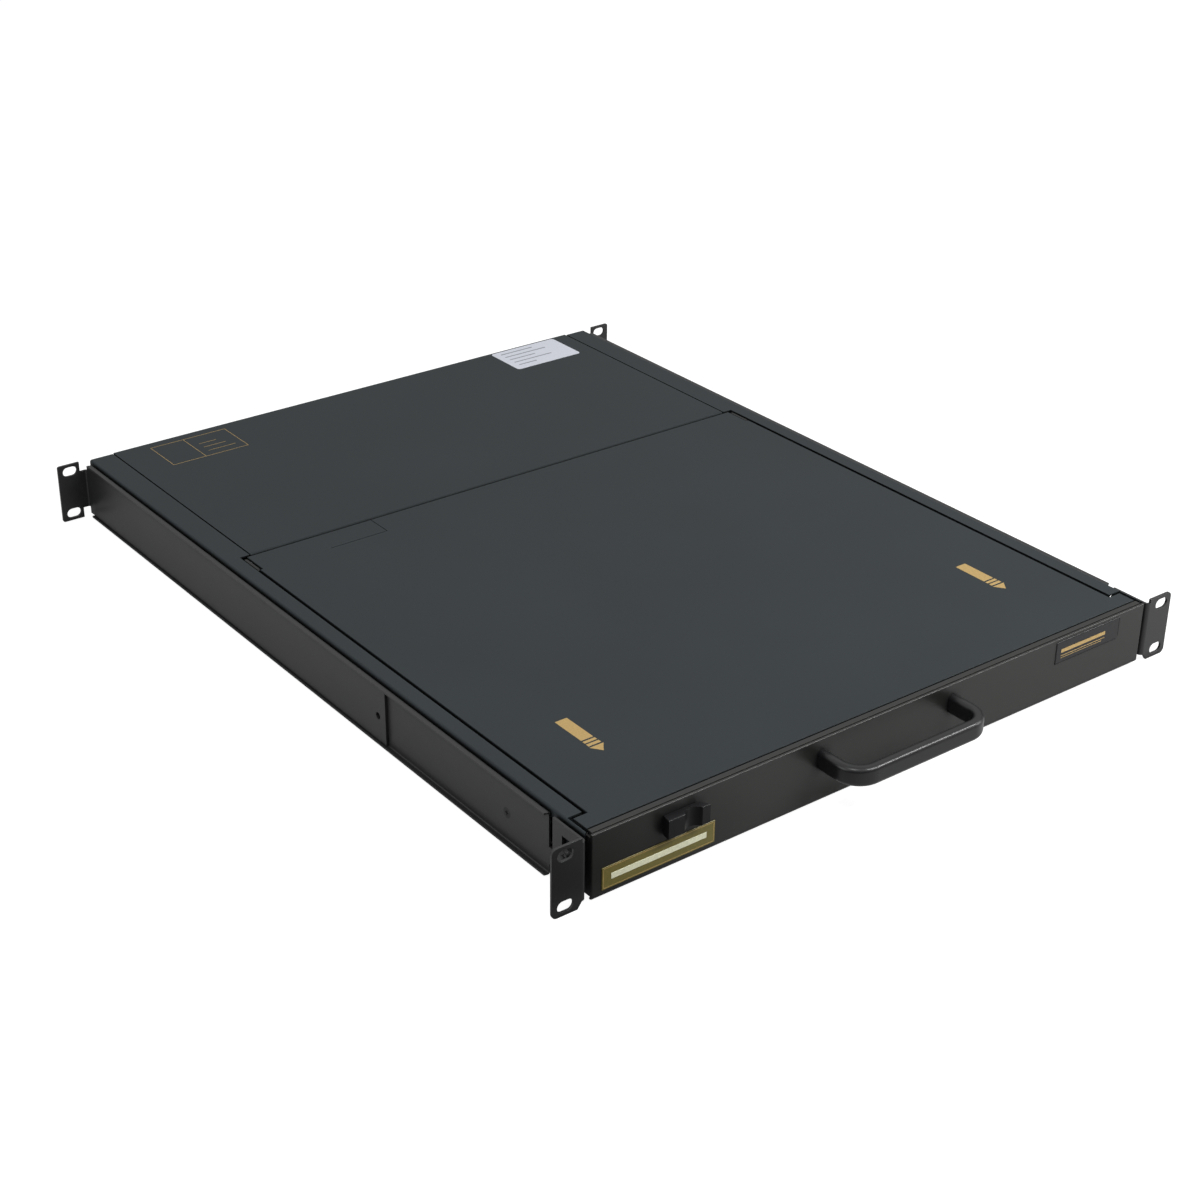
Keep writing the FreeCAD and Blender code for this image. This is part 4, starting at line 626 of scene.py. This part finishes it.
class CONSOLE_OT_stage(bpy.types.Operator):
    """Adds the floor, the soft lights and the camera"""
    bl_idname = "console.stage"
    bl_label = "Stage"

    def execute(self, context):
        settings = context.scene.console_stage
        self.add_floor(settings)
        self.add_world(context)
        self.add_lamps()
        self.add_camera(context, settings)
        context.scene.view_settings.view_transform = "Standard"
        return {"FINISHED"}

    def add_floor(self, settings):
        bm = bmesh.new()
        bmesh.ops.create_grid(bm, x_segments=1, y_segments=1, size=6.0)
        bmesh.ops.translate(bm, verts=bm.verts, vec=(0.0, 0.25, FRAME_BOX[0].z - settings.floor_drop))
        mesh = bpy.data.meshes.new("floor")
        bm.to_mesh(mesh)
        bm.free()
        floor = bpy.data.objects.new("floor", mesh)
        bpy.context.scene.collection.objects.link(floor)
        mesh.materials.append(self.floor_finish())

    def floor_finish(self):
        """Near white to the camera, greyer to other rays, with a painted dark spot by the left ear that only
        other rays see, putting painted shade into the front panel's and left ear's reflections.
        """
        shown, mirrored = 0.90, 0.14
        shade_spot_x, shade_spot_y = (-0.21, -0.07), (-0.02, 0.03)
        material, tree, shader = start_material("Pale floor")
        tree.nodes.remove(shader)
        mottle = noise(tree, object_point(tree), 0.4, 2.0)
        path = node(tree, "ShaderNodeLightPath").outputs
        to_camera = blend_colour(tree, mottle, grey(0.30), grey(0.32))
        to_others = blend_colour(tree, mottle, grey(0.50), grey(0.52))
        # Painted shade: near the left ear the floor turns dark, and loses its glow in reflections, for every
        # ray but the camera's
        spot = node(tree, "ShaderNodeSeparateXYZ", {0: object_point(tree)}).outputs
        left = spread(tree, spot["X"], 1.0, 0.0, *shade_spot_x)
        front = spread(tree, spot["Y"], 1.0, 0.0, *shade_spot_y)
        patch = maths(tree, "MULTIPLY", left, front)
        to_others = blend_colour(tree, patch, to_others, grey(0.04))
        tint = blend_colour(tree, path["Is Camera Ray"], to_others, to_camera)
        matte = node(tree, "ShaderNodeBsdfDiffuse", {"Color": tint}).outputs[0]
        direct = maths(tree, "ADD", path["Is Camera Ray"], path["Is Transmission Ray"], clamp=True)
        straight = maths(tree, "MULTIPLY", direct, shown)
        mirror = maths(tree, "MULTIPLY", path["Is Glossy Ray"], spread(tree, patch, mirrored, 0.0))
        glow = maths(tree, "MAXIMUM", straight, mirror)
        white = node(tree, "ShaderNodeEmission", {"Color": WHITE, "Strength": glow}).outputs[0]
        both = node(tree, "ShaderNodeAddShader", {0: matte, 1: white}).outputs[0]
        tree.links.new(both, tree.nodes["Material Output"].inputs["Surface"])
        return material

    def add_world(self, context):
        """White to the camera and through glass, dim to the rest, and white overhead in a mirror."""
        dim, low, high = 0.3, 0.3, 0.6
        world = bpy.data.worlds.new("Studio")
        context.scene.world = world
        world.use_nodes = True
        tree = world.node_tree
        path = node(tree, "ShaderNodeLightPath").outputs
        direct = maths(tree, "ADD", path["Is Camera Ray"], path["Is Transmission Ray"], clamp=True)
        way = node(tree, "ShaderNodeTexCoord").outputs["Generated"]
        height = node(tree, "ShaderNodeSeparateXYZ", {0: way}).outputs["Z"]
        overhead = spread(tree, height, dim, 1.0, low, high)
        mirrored = maths(tree, "MULTIPLY", path["Is Glossy Ray"], overhead)
        shown = maths(tree, "MAXIMUM", direct, mirrored)
        back = tree.nodes["Background"]
        back.inputs["Color"].default_value = WHITE
        tree.links.new(maths(tree, "MAXIMUM", shown, dim), back.inputs["Strength"])

    def add_lamps(self):
        """Four soft panels, each with its place, aim, size and watts."""
        lamps = (
            ("overhead", (-0.7, -0.35, 1.45), (0.0, 0.2, 0.0), (0.5, 0.5), 6.0),
            ("front_strip", (0.75, -0.68, 1.0), (0.75, 0.0, 0.0), (1.3, 0.15), 19.0),
            ("front_right", (1.0, -0.5, 0.35), (0.2, 0.0, 0.0), (0.5, 0.5), 3.0),
            ("left_side", (-1.7, 0.3, 0.5), (-0.2, 0.3, 0.0), (1.0, 1.0), 7.0),
        )
        for name, place, aim, size, power in lamps:
            data = bpy.data.lights.new(name, "AREA")
            data.shape = "RECTANGLE"
            data.size, data.size_y = size
            data.energy = power
            lamp = bpy.data.objects.new(name, data)
            bpy.context.scene.collection.objects.link(lamp)
            lamp.location = place
            lamp.rotation_mode = "QUATERNION"
            lamp.rotation_quaternion = (Vector(aim) - Vector(place)).to_track_quat("-Z", "Y")

    def add_camera(self, context, settings):
        turn, rise, roll = settings.azimuth, settings.elevation, settings.roll
        flat = math.cos(rise)
        back = Vector((math.sin(turn) * flat, -math.cos(turn) * flat, math.sin(rise)))
        level = Vector((math.cos(turn), math.sin(turn), 0.0))
        upright = back.cross(level)
        right = level * math.cos(roll) + upright * math.sin(roll)
        up = upright * math.cos(roll) - level * math.sin(roll)
        data = bpy.data.cameras.new("camera")
        data.lens = settings.lens
        data.sensor_width = 36.0
        data.clip_start = 0.05
        data.clip_end = 30.0
        camera = bpy.data.objects.new("camera", data)
        context.scene.collection.objects.link(camera)
        axes = Matrix((right, up, back)).transposed().to_4x4()
        place = Vector(settings.target) + back * settings.distance
        camera.matrix_world = Matrix.Translation(place) @ axes
        context.scene.camera = camera


class CONSOLE_OT_rails(bpy.types.Operator):
    """Finishes the fixed rails, the front ears and the adjustable rear brackets"""
    bl_idname = "console.rails"
    bl_label = "Rails and ears"

    def execute(self, context):
        for side in ("left", "right"):
            finished("rail_" + side, 0.25)
            finished("front_ear_" + side, 0.4, segments=3)
            finished("rear_bracket_" + side, 0.3)
        return {"FINISHED"}


class CONSOLE_OT_slides(bpy.types.Operator):
    """Finishes the slide members and adds the balls in their cages"""
    bl_idname = "console.slides"
    bl_label = "Ball slides"

    def execute(self, context):
        for side in ("left", "right"):
            for member in ("outer", "middle", "inner"):
                finished("slide_" + member + "_" + side, 0.2)
            finished("ball_cages_" + side, 0.15)
            self.add_balls(side)
        return {"FINISHED"}

    def add_balls(self, side):
        """A row of steel balls along each strip of the cages."""
        pitch, radius = 18.0 * MM, 1.25 * MM
        cages = "ball_cages_" + side
        bm = bmesh.new()
        for low, high in islands(merged_copy(cages)):
            middle = (low + high) / 2
            length = high.y - low.y
            count = int(length / pitch)
            for i in range(count):
                place = Matrix.Translation((middle.x, low.y + (i + 0.5) * length / count, middle.z))
                bmesh.ops.create_uvsphere(bm, u_segments=8, v_segments=6, radius=radius, matrix=place)
        keep_piece(bm, "balls_" + side, body_of(cages), "steel_ball", smooth=80.0)


class CONSOLE_OT_chassis(bpy.types.Operator):
    """Finishes the sides, the floor, the covers and the partition"""
    bl_idname = "console.chassis"
    bl_label = "Drawer body"

    def execute(self, context):
        for part in ("side_frame_left", "side_frame_right", "bottom_pan", "partition_wall", "rear_panel"):
            finished(part, 0.25)
        finished("rear_cover", 0.15)
        return {"FINISHED"}


class CONSOLE_OT_front(bpy.types.Operator):
    """Finishes the front panel"""
    bl_idname = "console.front"
    bl_label = "Front panel"

    def execute(self, context):
        finished("front_panel", 0.2)
        return {"FINISHED"}


class CONSOLE_OT_handle(bpy.types.Operator):
    """Sweeps the bow handle in one smooth run"""
    bl_idname = "console.handle"
    bl_label = "Bow handle"

    def execute(self, context):
        low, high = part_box("handle")
        thick, bend, round_edge = 7.2 * MM, 17.0 * MM, 3.0 * MM
        leg_x = low.x + thick / 2
        turn_y = low.y + bend
        z = (low.z + high.z) / 2
        bm = bmesh.new()
        size = Matrix.Diagonal((thick, high.z - low.z, 1.0, 1.0))
        place = Matrix.Translation((leg_x, high.y, z)) @ Matrix.Rotation(math.radians(90), 4, "X") @ size
        bmesh.ops.create_grid(bm, x_segments=1, y_segments=1, size=0.5, matrix=place)
        bmesh.ops.bevel(
            bm, geom=bm.verts[:], offset=round_edge, segments=6, profile=0.5,
            affect="VERTICES", clamp_overlap=False, material=-1,
        )
        tip = bm.faces[:]
        tip = self.push(bm, tip, (0.0, turn_y - high.y, 0.0))
        tip = self.turn(bm, tip, (low.x + bend, turn_y, z))
        tip = self.push(bm, tip, (high.x - low.x - 2 * bend, 0.0, 0.0))
        tip = self.turn(bm, tip, (high.x - bend, turn_y, z))
        self.push(bm, tip, (0.0, high.y - turn_y, 0.0))
        bmesh.ops.recalc_face_normals(bm, faces=bm.faces)
        keep_piece(bm, "handle_bow", body_of("handle"), "handle_black", 40.0, ("handle",))
        return {"FINISHED"}

    def push(self, bm, faces, way):
        """Extrudes the end of the bar straight on."""
        made = bmesh.ops.extrude_face_region(bm, geom=faces)["geom"]
        verts = [v for v in made if isinstance(v, bmesh.types.BMVert)]
        bmesh.ops.translate(bm, verts=verts, vec=way)
        return [f for f in made if isinstance(f, bmesh.types.BMFace)]

    def turn(self, bm, faces, centre):
        """Spins the end of the bar through a quarter turn."""
        geom = faces + list({e for f in faces for e in f.edges})
        geom += list({v for f in faces for v in f.verts})
        made = bmesh.ops.spin(
            bm, geom=geom, cent=centre, axis=(0.0, 0.0, 1.0), angle=math.radians(90),
            steps=16, use_merge=False, use_duplicate=False,
        )["geom_last"]
        return [f for f in made if isinstance(f, bmesh.types.BMFace)]


class CONSOLE_OT_latch(bpy.types.Operator):
    """Finishes the latch's finger slide, bolt and guides"""
    bl_idname = "console.latch"
    bl_label = "Latch"

    def execute(self, context):
        finished("latch_knob", 0.3, segments=3)
        finished("latch_bolt", 0.2)
        finished("latch_guide", 0.2)
        return {"FINISHED"}


class CONSOLE_OT_lid(bpy.types.Operator):
    """Finishes the lid and the cable cover on it"""
    bl_idname = "console.lid"
    bl_label = "Lid"

    def execute(self, context):
        finished("lid_cover", 0.15)
        finished("hinge_cable_cover", 0.1)
        return {"FINISHED"}


class CONSOLE_OT_display(bpy.types.Operator):
    """Finishes the bezel, the display unit, the screen and the menu buttons"""
    bl_idname = "console.display"
    bl_label = "Screen"

    def execute(self, context):
        finished("lcd_bezel", 0.3)
        finished("lcd_module", 0.3)
        finished("lcd_screen", 0.15)
        for button in ("menu_button", "down_button", "up_button"):
            finished(button, 0.3, segments=3)
        self.add_button_marks()
        return {"FINISHED"}

    def add_button_marks(self):
        """Plain signs beside the three buttons: three bars and two arrow heads."""
        gap, bar_half, bar_thin, head = 3.0, 1.4, 0.2, 1.3
        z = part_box("lcd_bezel")[0].z / MM
        for button in ("menu_button", "down_button", "up_button"):
            low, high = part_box(button)
            x = middle_of(low, high)[0]
            y = low.y / MM - gap
            bm = bmesh.new()
            if button == "menu_button":
                for step in (-1.0, 0.0, 1.0):
                    near = (x - bar_half, y + step - bar_thin, z - 0.03)
                    slab(bm, near, (x + bar_half, y + step + bar_thin, z + 0.02))
            else:
                place = Matrix.Translation(Vector((x, y, z)) * MM)
                if button == "down_button":
                    place = place @ Matrix.Rotation(math.pi, 4, "Z")
                prism(bm, place, head * MM, 0.06 * MM)
            keep_piece(bm, button + "_sign", body_of("lcd_bezel"), "legend_white")


class CONSOLE_OT_hinges(bpy.types.Operator):
    """Finishes the hinge blocks, plates and pins"""
    bl_idname = "console.hinges"
    bl_label = "Hinges"

    def execute(self, context):
        for side in ("left", "right"):
            finished("hinge_block_" + side, 0.25)
            finished("hinge_plate_" + side, 0.25)
        finished("hinge_pins", 0.15)
        return {"FINISHED"}


class CONSOLE_OT_keyboard(bpy.types.Operator):
    """Builds the dished key caps with their letters, and finishes the deck around them"""
    bl_idname = "console.keyboard"
    bl_label = "Keyboard"

    def execute(self, context):
        finished("keyboard_base", 0.0)
        finished("keyboard_deck", 0.25)
        for part, legends in LEGENDS.items():
            self.add_caps(part, legends)
        return {"FINISHED"}

    def add_caps(self, part, legends):
        """The caps of one row and the letters on them."""
        one_letter, word, letter_shift = 4.0 * MM, 2.6 * MM, 0.6
        marks = bmesh.new()
        caps = bmesh.new()
        for (low, high), text in zip(islands(merged_copy(part)), legends):
            self.add_cap(caps, low, high)
            if text:
                x, y, _ = middle_of(low, high)
                centre = Vector((x * MM, (y + letter_shift) * MM, high.z - DISH * MM))
                lettering(marks, text, centre, one_letter if len(text) == 1 else word)
        keep_piece(caps, part + "_caps", body_of(part), "key_plastic", 40.0, (part,))
        if marks.verts:
            keep_piece(marks, part + "_legends", body_of(part), "legend_white")
        else:
            marks.free()

    def add_cap(self, bm, low, high):
        """A tapered cap with rounded edges, a shallow tray in its top, and its stem."""
        taper_x, taper_y, rim, rounding, stem_half, overlap = 2.2, 1.6, 1.1, 0.7, 2.0, 0.5
        floor = high.z - CAP_HEIGHT * MM
        above_floor = floor + 0.01 * MM
        size = Matrix.Diagonal((high.x - low.x, high.y - low.y, high.z - floor, 1.0))
        place = Matrix.Translation(((low.x + high.x) / 2, (low.y + high.y) / 2, (floor + high.z) / 2))
        verts = bmesh.ops.create_cube(bm, size=1.0, matrix=place @ size)["verts"]
        top = [v for v in verts if v.co.z > above_floor]
        centre = place.to_translation()
        for vert in top:
            vert.co.x += math.copysign(taper_x * MM, centre.x - vert.co.x)
            vert.co.y += math.copysign(taper_y * MM, centre.y - vert.co.y)
        crown = next(f for f in top[0].link_faces if all(v in top for v in f.verts))
        bmesh.ops.inset_individual(bm, faces=[crown], thickness=rim * MM, depth=-DISH * MM)
        edges = {e for v in verts for f in v.link_faces for e in f.edges}
        sharp = [e for e in edges if e.is_manifold and e.calc_face_angle() > math.radians(30)
                 and max(v.co.z for v in e.verts) > above_floor]
        bmesh.ops.bevel(
            bm, geom=sharp, offset=rounding * MM, segments=2, profile=0.5,
            affect="EDGES", clamp_overlap=True, material=-1,
        )
        x, y, _ = centre / MM
        foot = (x - stem_half, y - stem_half, low.z / MM)
        slab(bm, foot, (x + stem_half, y + stem_half, floor / MM + overlap))


class CONSOLE_OT_touchpad(bpy.types.Operator):
    """Finishes the touchpad, its two buttons and the lid's rests"""
    bl_idname = "console.touchpad"
    bl_label = "Touchpad"

    def execute(self, context):
        finished("touchpad", 0.3)
        finished("touch_button_left", 0.4, segments=3)
        finished("touch_button_right", 0.4, segments=3)
        finished("lid_bumpers", 0.5, segments=3)
        return {"FINISHED"}


class CONSOLE_OT_rear(bpy.types.Operator):
    """Finishes the rear sockets and adds their contacts and the switch's line"""
    bl_idname = "console.rear"
    bl_label = "Rear sockets"

    def execute(self, context):
        finished("power_inlet", 0.25)
        finished("power_switch", 0.3)
        finished("video_socket", 0.15)
        finished("usb_sockets", 0.15)
        self.add_video_contacts()
        self.add_data_contacts()
        self.add_switch_line()
        return {"FINISHED"}

    def add_video_contacts(self):
        """Insulator face with three rows of five contact holes."""
        half_wide, half_high, set_back = 7.0, 3.3, 1.0
        pitch, row_pitch, row_shift, hole = 2.3, 2.0, 0.57, 0.5
        low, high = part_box("video_socket")
        x, _, z = middle_of(low, high)
        face = high.y / MM - set_back
        bm = bmesh.new()
        rear = (x + half_wide, face + 0.15, z + half_high)
        slab(bm, (x - half_wide, face - 0.6, z - half_high), rear)
        ease_edges(bm, 0.5)
        cutters = bmesh.new()
        for row in range(3):
            for column in range(5):
                shift = row_shift if row == 1 else 0.0
                spot = (x + (column - 2) * pitch + shift, face, z + (row - 1) * row_pitch)
                drum(cutters, spot, (0, 1, 0), hole, 1.0, 10)
        bm = carve(bm, cutters)
        keep_piece(bm, "video_insulator", body_of("video_socket"), "socket_black")

    def add_data_contacts(self):
        """Four gilt contacts on each tongue."""
        first, pitch, width = -1.95, 1.1, 0.6
        bm = bmesh.new()
        for low, high in islands(merged_copy("usb_sockets")):
            x, _, z = middle_of(low, high)
            rear = high.y / MM
            for i in range(4):
                left = x + first + i * pitch
                slab(bm, (left, rear - 8.0, z + 1.3), (left + width, rear - 2.2, z + 1.42))
        ease_edges(bm, 0.05, 1)
        keep_piece(bm, "data_contacts", body_of("usb_sockets"), "gold_ink")

    def add_switch_line(self):
        """The line on the rocker's lower end."""
        low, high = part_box("power_switch")
        x, _, z = middle_of(low, high)
        y = high.y / MM
        bm = bmesh.new()
        slab(bm, (x - 0.35, y - 0.62, z - 6.2), (x + 0.35, y - 0.25, z - 2.8))
        keep_piece(bm, "switch_line", body_of("power_switch"), "legend_white")


class CONSOLE_OT_boards(bpy.types.Operator):
    """Finishes the two circuit boards and blackens their components"""
    bl_idname = "console.boards"
    bl_label = "Circuit boards"

    def execute(self, context):
        board_top = 7.8 * MM
        for part in ("power_supply", "main_board"):
            piece = finished(part, 0.2)
            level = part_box(part)[0].z + board_top
            piece.data.materials.append(finish_of("chip_black"))
            for face in piece.data.polygons:
                if face.center.z > level:
                    face.material_index = 1
        return {"FINISHED"}


class CONSOLE_OT_fixings(bpy.types.Operator):
    """Finishes the screws and rivets and cuts the recesses in their heads"""
    bl_idname = "console.fixings"
    bl_label = "Screws"

    def execute(self, context):
        self.with_recesses("rail_screws", self.rail_heads())
        self.with_recesses("cover_screws", self.cover_heads())
        finished("handle_screws", 0.2)
        return {"FINISHED"}

    def rail_heads(self):
        """The outer face of each rail screw and the way that it looks."""
        heads = []
        for low, high in islands(merged_copy("rail_screws")):
            side = 1 if low.x > 0 else -1
            _, y, z = middle_of(low, high)
            face = max(abs(low.x), abs(high.x)) * side / MM
            heads.append(((face, y, z), (side, 0, 0)))
        return heads

    def cover_heads(self):
        """The top of each cover screw and the way that it looks."""
        heads = []
        for low, high in islands(merged_copy("cover_screws")):
            x, y, _ = middle_of(low, high)
            heads.append(((x, y, high.z / MM), (0, 0, 1)))
        return heads

    def with_recesses(self, part, heads):
        """Cuts one bar of each cross and then the other, and stops if a screw is damaged."""
        least_left = 0.8
        bm = merged_copy(part)
        before = bm.calc_volume()
        for crossways in (False, True):
            cutters = bmesh.new()
            for centre, axis in heads:
                recess_bar(cutters, centre, axis, crossways)
            bm = carve(bm, cutters)
        if bm.calc_volume() < least_left * before:
            raise RuntimeError("the recesses took away more than a fifth of " + part)
        keep_finished(bm, part)


class CONSOLE_OT_marks(bpy.types.Operator):
    """Adds the arrows, the frame, the sticker and the two plates, all without lettering"""
    bl_idname = "console.marks"
    bl_label = "Marks and plates"

    def execute(self, context):
        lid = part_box("lid_cover")[1].z / MM
        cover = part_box("rear_cover")[1].z / MM
        self.add_arrow("arrow_left", -160.2, 102.4, lid)
        self.add_arrow("arrow_right", 160.5, 105.0, lid)
        self.add_frame(cover)
        self.add_sticker(cover)
        self.add_front_plate()
        self.add_badge()
        return {"FINISHED"}

    def keep(self, bm, name, part, finish, edge=0.0):
        """Keeps a mark as a piece on the part that carries it."""
        if edge:
            ease_edges(bm, edge, 1)
        keep_piece(bm, name, body_of(part), finish)

    def add_arrow(self, name, x, tail, z):
        """Bar, two short bars and the head, pointing to the front."""
        head_middle, head_wide, head_long = 35.4, 9.8, 6.6
        bars = ((4.2, 24.7, 0.0), (4.3, 28.2, 26.0), (4.4, 31.8, 29.4))
        bm = bmesh.new()
        for half, front, rear in bars:
            slab(bm, (x - half, tail - front, z - PRINT), (x + half, tail - rear, z + PRINT))
        place = Matrix.Translation(Vector((x, tail - head_middle, z)) * MM)
        place = place @ Matrix.Rotation(math.pi, 4, "Z")
        # a triangle of radius 1 is 1.732 wide and 1.5 long
        size = Matrix.Diagonal((head_wide / 1.732, head_long / 1.5, 1.0, 1.0))
        prism(bm, place @ size, MM, 2 * PRINT * MM)
        self.keep(bm, name, "lid_cover", "gold_ink", 0.03)

    def add_frame(self, z):
        """A bare double field drawn in thin gold lines, with three plain rules."""
        left, split, right, front, rear = -173.5, -148.0, -114.5, 540.7, 576.0
        line, rule_half, margin, first_rule, rule_gap, step_in = 0.38, 0.18, 6.0, 8.0, 7.0, 4.0
        half, low, high = line / 2, z - PRINT, z + 0.04
        bm = bmesh.new()
        for x in (left, split, right):
            slab(bm, (x - half, front, low), (x + half, rear, high))
        for y in (front, rear):
            slab(bm, (left - half, y - half, low), (right + half, y + half, high))
        for i in range(3):
            y = front + first_rule + i * rule_gap
            end = right - margin - step_in * i
            slab(bm, (split + margin, y - rule_half, low), (end, y + rule_half, high))
        self.keep(bm, "gold_frame", "rear_cover", "gold_ink")

    def add_sticker(self, z):
        """White paper sticker with faint plain rules."""
        left, right, front, rear, corner = 125.0, 185.0, 544.5, 582.5, 2.5
        margin, longest, first_rule, rule_gap, rule_half = 6.0, 48.0, 5.5, 6.2, 0.7
        bm = bmesh.new()
        slab(bm, (left, front, z - PRINT), (right, rear, z + 0.08))
        upright = [e for e in bm.edges if abs(e.verts[0].co.z - e.verts[1].co.z) > 1e-6]
        bmesh.ops.bevel(
            bm, geom=upright, offset=corner * MM, segments=5, profile=0.5, affect="EDGES",
            clamp_overlap=True, material=-1,
        )
        self.keep(bm, "paper_sticker", "rear_cover", "paper_white")
        rules = bmesh.new()
        start = left + margin
        for i, share in enumerate((0.62, 0.8, 0.5, 0.74, 0.35)):
            y = rear - first_rule - i * rule_gap
            near = (start, y - rule_half, z + 0.05)
            slab(rules, near, (start + longest * share, y + rule_half, z + 0.11))
        self.keep(rules, "sticker_rules", "rear_cover", "print_grey")

    def add_front_plate(self):
        """Enamelled plate with a gold border and one plain pale band."""
        left, right, low, high = -209.0, -132.0, -16.2, -2.1
        inset, half, band_x, band_z = 0.9, 0.15, 6.0, 5.2
        plate = bmesh.new()
        slab(plate, (left, -0.45, low), (right, 0.05, high))
        self.keep(plate, "front_plate", "front_panel", "plate_olive", 0.12)
        lines = bmesh.new()
        end = inset - half
        for x in (left + inset, right - inset):
            slab(lines, (x - half, -0.5, low + end), (x + half, -0.4, high - end))
        for z in (low + inset, high - inset):
            slab(lines, (left + end, -0.5, z - half), (right - end, -0.4, z + half))
        self.keep(lines, "front_plate_border", "front_panel", "gold_ink")
        band = bmesh.new()
        slab(band, (left + band_x, -0.62, low + band_z), (right - band_x, -0.4, high - band_z))
        self.keep(band, "front_plate_band", "front_panel", "plate_cream", 0.08)

    def add_badge(self):
        """Black badge with a cut corner, a plain gold bar and two thin rules."""
        left, right, low, high = 136.0, 193.0, 3.8, 18.9
        cut, inset, half, cut_end = 1.7, 0.5, 0.3, 2.2
        bar_start, rules = left + 4.5, ((10.8, 13.2, 13.0), (8.6, 9.0, 13.0), (7.2, 7.5, 16.0))
        bm = bmesh.new()
        slab(bm, (left, -0.35, low), (right, 0.05, high))
        corner = [e for e in bm.edges
                  if all(v.co.x > (right - 1) * MM and v.co.z < (low + 1) * MM for v in e.verts)]
        bmesh.ops.bevel(
            bm, geom=corner, offset=cut * MM, segments=1, profile=0.5, affect="EDGES",
            clamp_overlap=True, material=-1,
        )
        self.keep(bm, "front_badge", "front_panel", "badge_black", 0.15)
        rim = bmesh.new()
        for x, foot in ((left + inset, half), (right - inset, cut_end)):
            slab(rim, (x - half, -0.4, low + foot), (x + half, -0.3, high - half))
        for z, end in ((low + inset, cut_end), (high - inset, half)):
            slab(rim, (left + half, -0.4, z - half), (right - end, -0.3, z + half))
        self.keep(rim, "front_badge_rim", "front_panel", "knob_black")
        bars = bmesh.new()
        for bottom, top, short in rules:
            slab(bars, (bar_start, -0.42, bottom), (right - short, -0.3, top))
        self.keep(bars, "front_badge_bars", "front_panel", "gold_ink")


OPERATORS = (
    CONSOLE_OT_stage, CONSOLE_OT_rails, CONSOLE_OT_slides, CONSOLE_OT_chassis, CONSOLE_OT_front,
    CONSOLE_OT_handle, CONSOLE_OT_latch, CONSOLE_OT_lid, CONSOLE_OT_display, CONSOLE_OT_hinges,
    CONSOLE_OT_keyboard, CONSOLE_OT_touchpad, CONSOLE_OT_rear, CONSOLE_OT_boards, CONSOLE_OT_fixings,
    CONSOLE_OT_marks,
)


# ---------------------------------------------------------------- panel and run

class CONSOLE_PT_panel(bpy.types.Panel):
    """Buttons and settings of the console drawer"""
    bl_idname = "CONSOLE_PT_panel"
    bl_label = "Rack console drawer"
    bl_space_type = "VIEW_3D"
    bl_region_type = "UI"
    bl_category = "Console"

    def draw(self, context):
        layout = self.layout
        for settings in (context.scene.console_looks, context.scene.console_stage):
            box = layout.box()
            for key in settings.__annotations__:
                box.prop(settings, key)
        for each in OPERATORS:
            layout.operator(each.bl_idname)


CLASSES = (ConsoleLooks, ConsoleStage, *OPERATORS, CONSOLE_PT_panel)


def register():
    for each in CLASSES:
        bpy.utils.register_class(each)
    bpy.types.Scene.console_looks = PointerProperty(type=ConsoleLooks)
    bpy.types.Scene.console_stage = PointerProperty(type=ConsoleStage)


def unregister():
    del bpy.types.Scene.console_stage
    del bpy.types.Scene.console_looks
    for each in reversed(CLASSES):
        bpy.utils.unregister_class(each)


def main():
    register()
    bpy.ops.console.stage()
    bpy.ops.console.rails()
    bpy.ops.console.slides()
    bpy.ops.console.chassis()
    bpy.ops.console.front()
    bpy.ops.console.handle()
    bpy.ops.console.latch()
    bpy.ops.console.lid()
    bpy.ops.console.display()
    bpy.ops.console.hinges()
    bpy.ops.console.keyboard()
    bpy.ops.console.touchpad()
    bpy.ops.console.rear()
    bpy.ops.console.boards()
    bpy.ops.console.fixings()
    bpy.ops.console.marks()


if __name__ == "__main__":
    main()
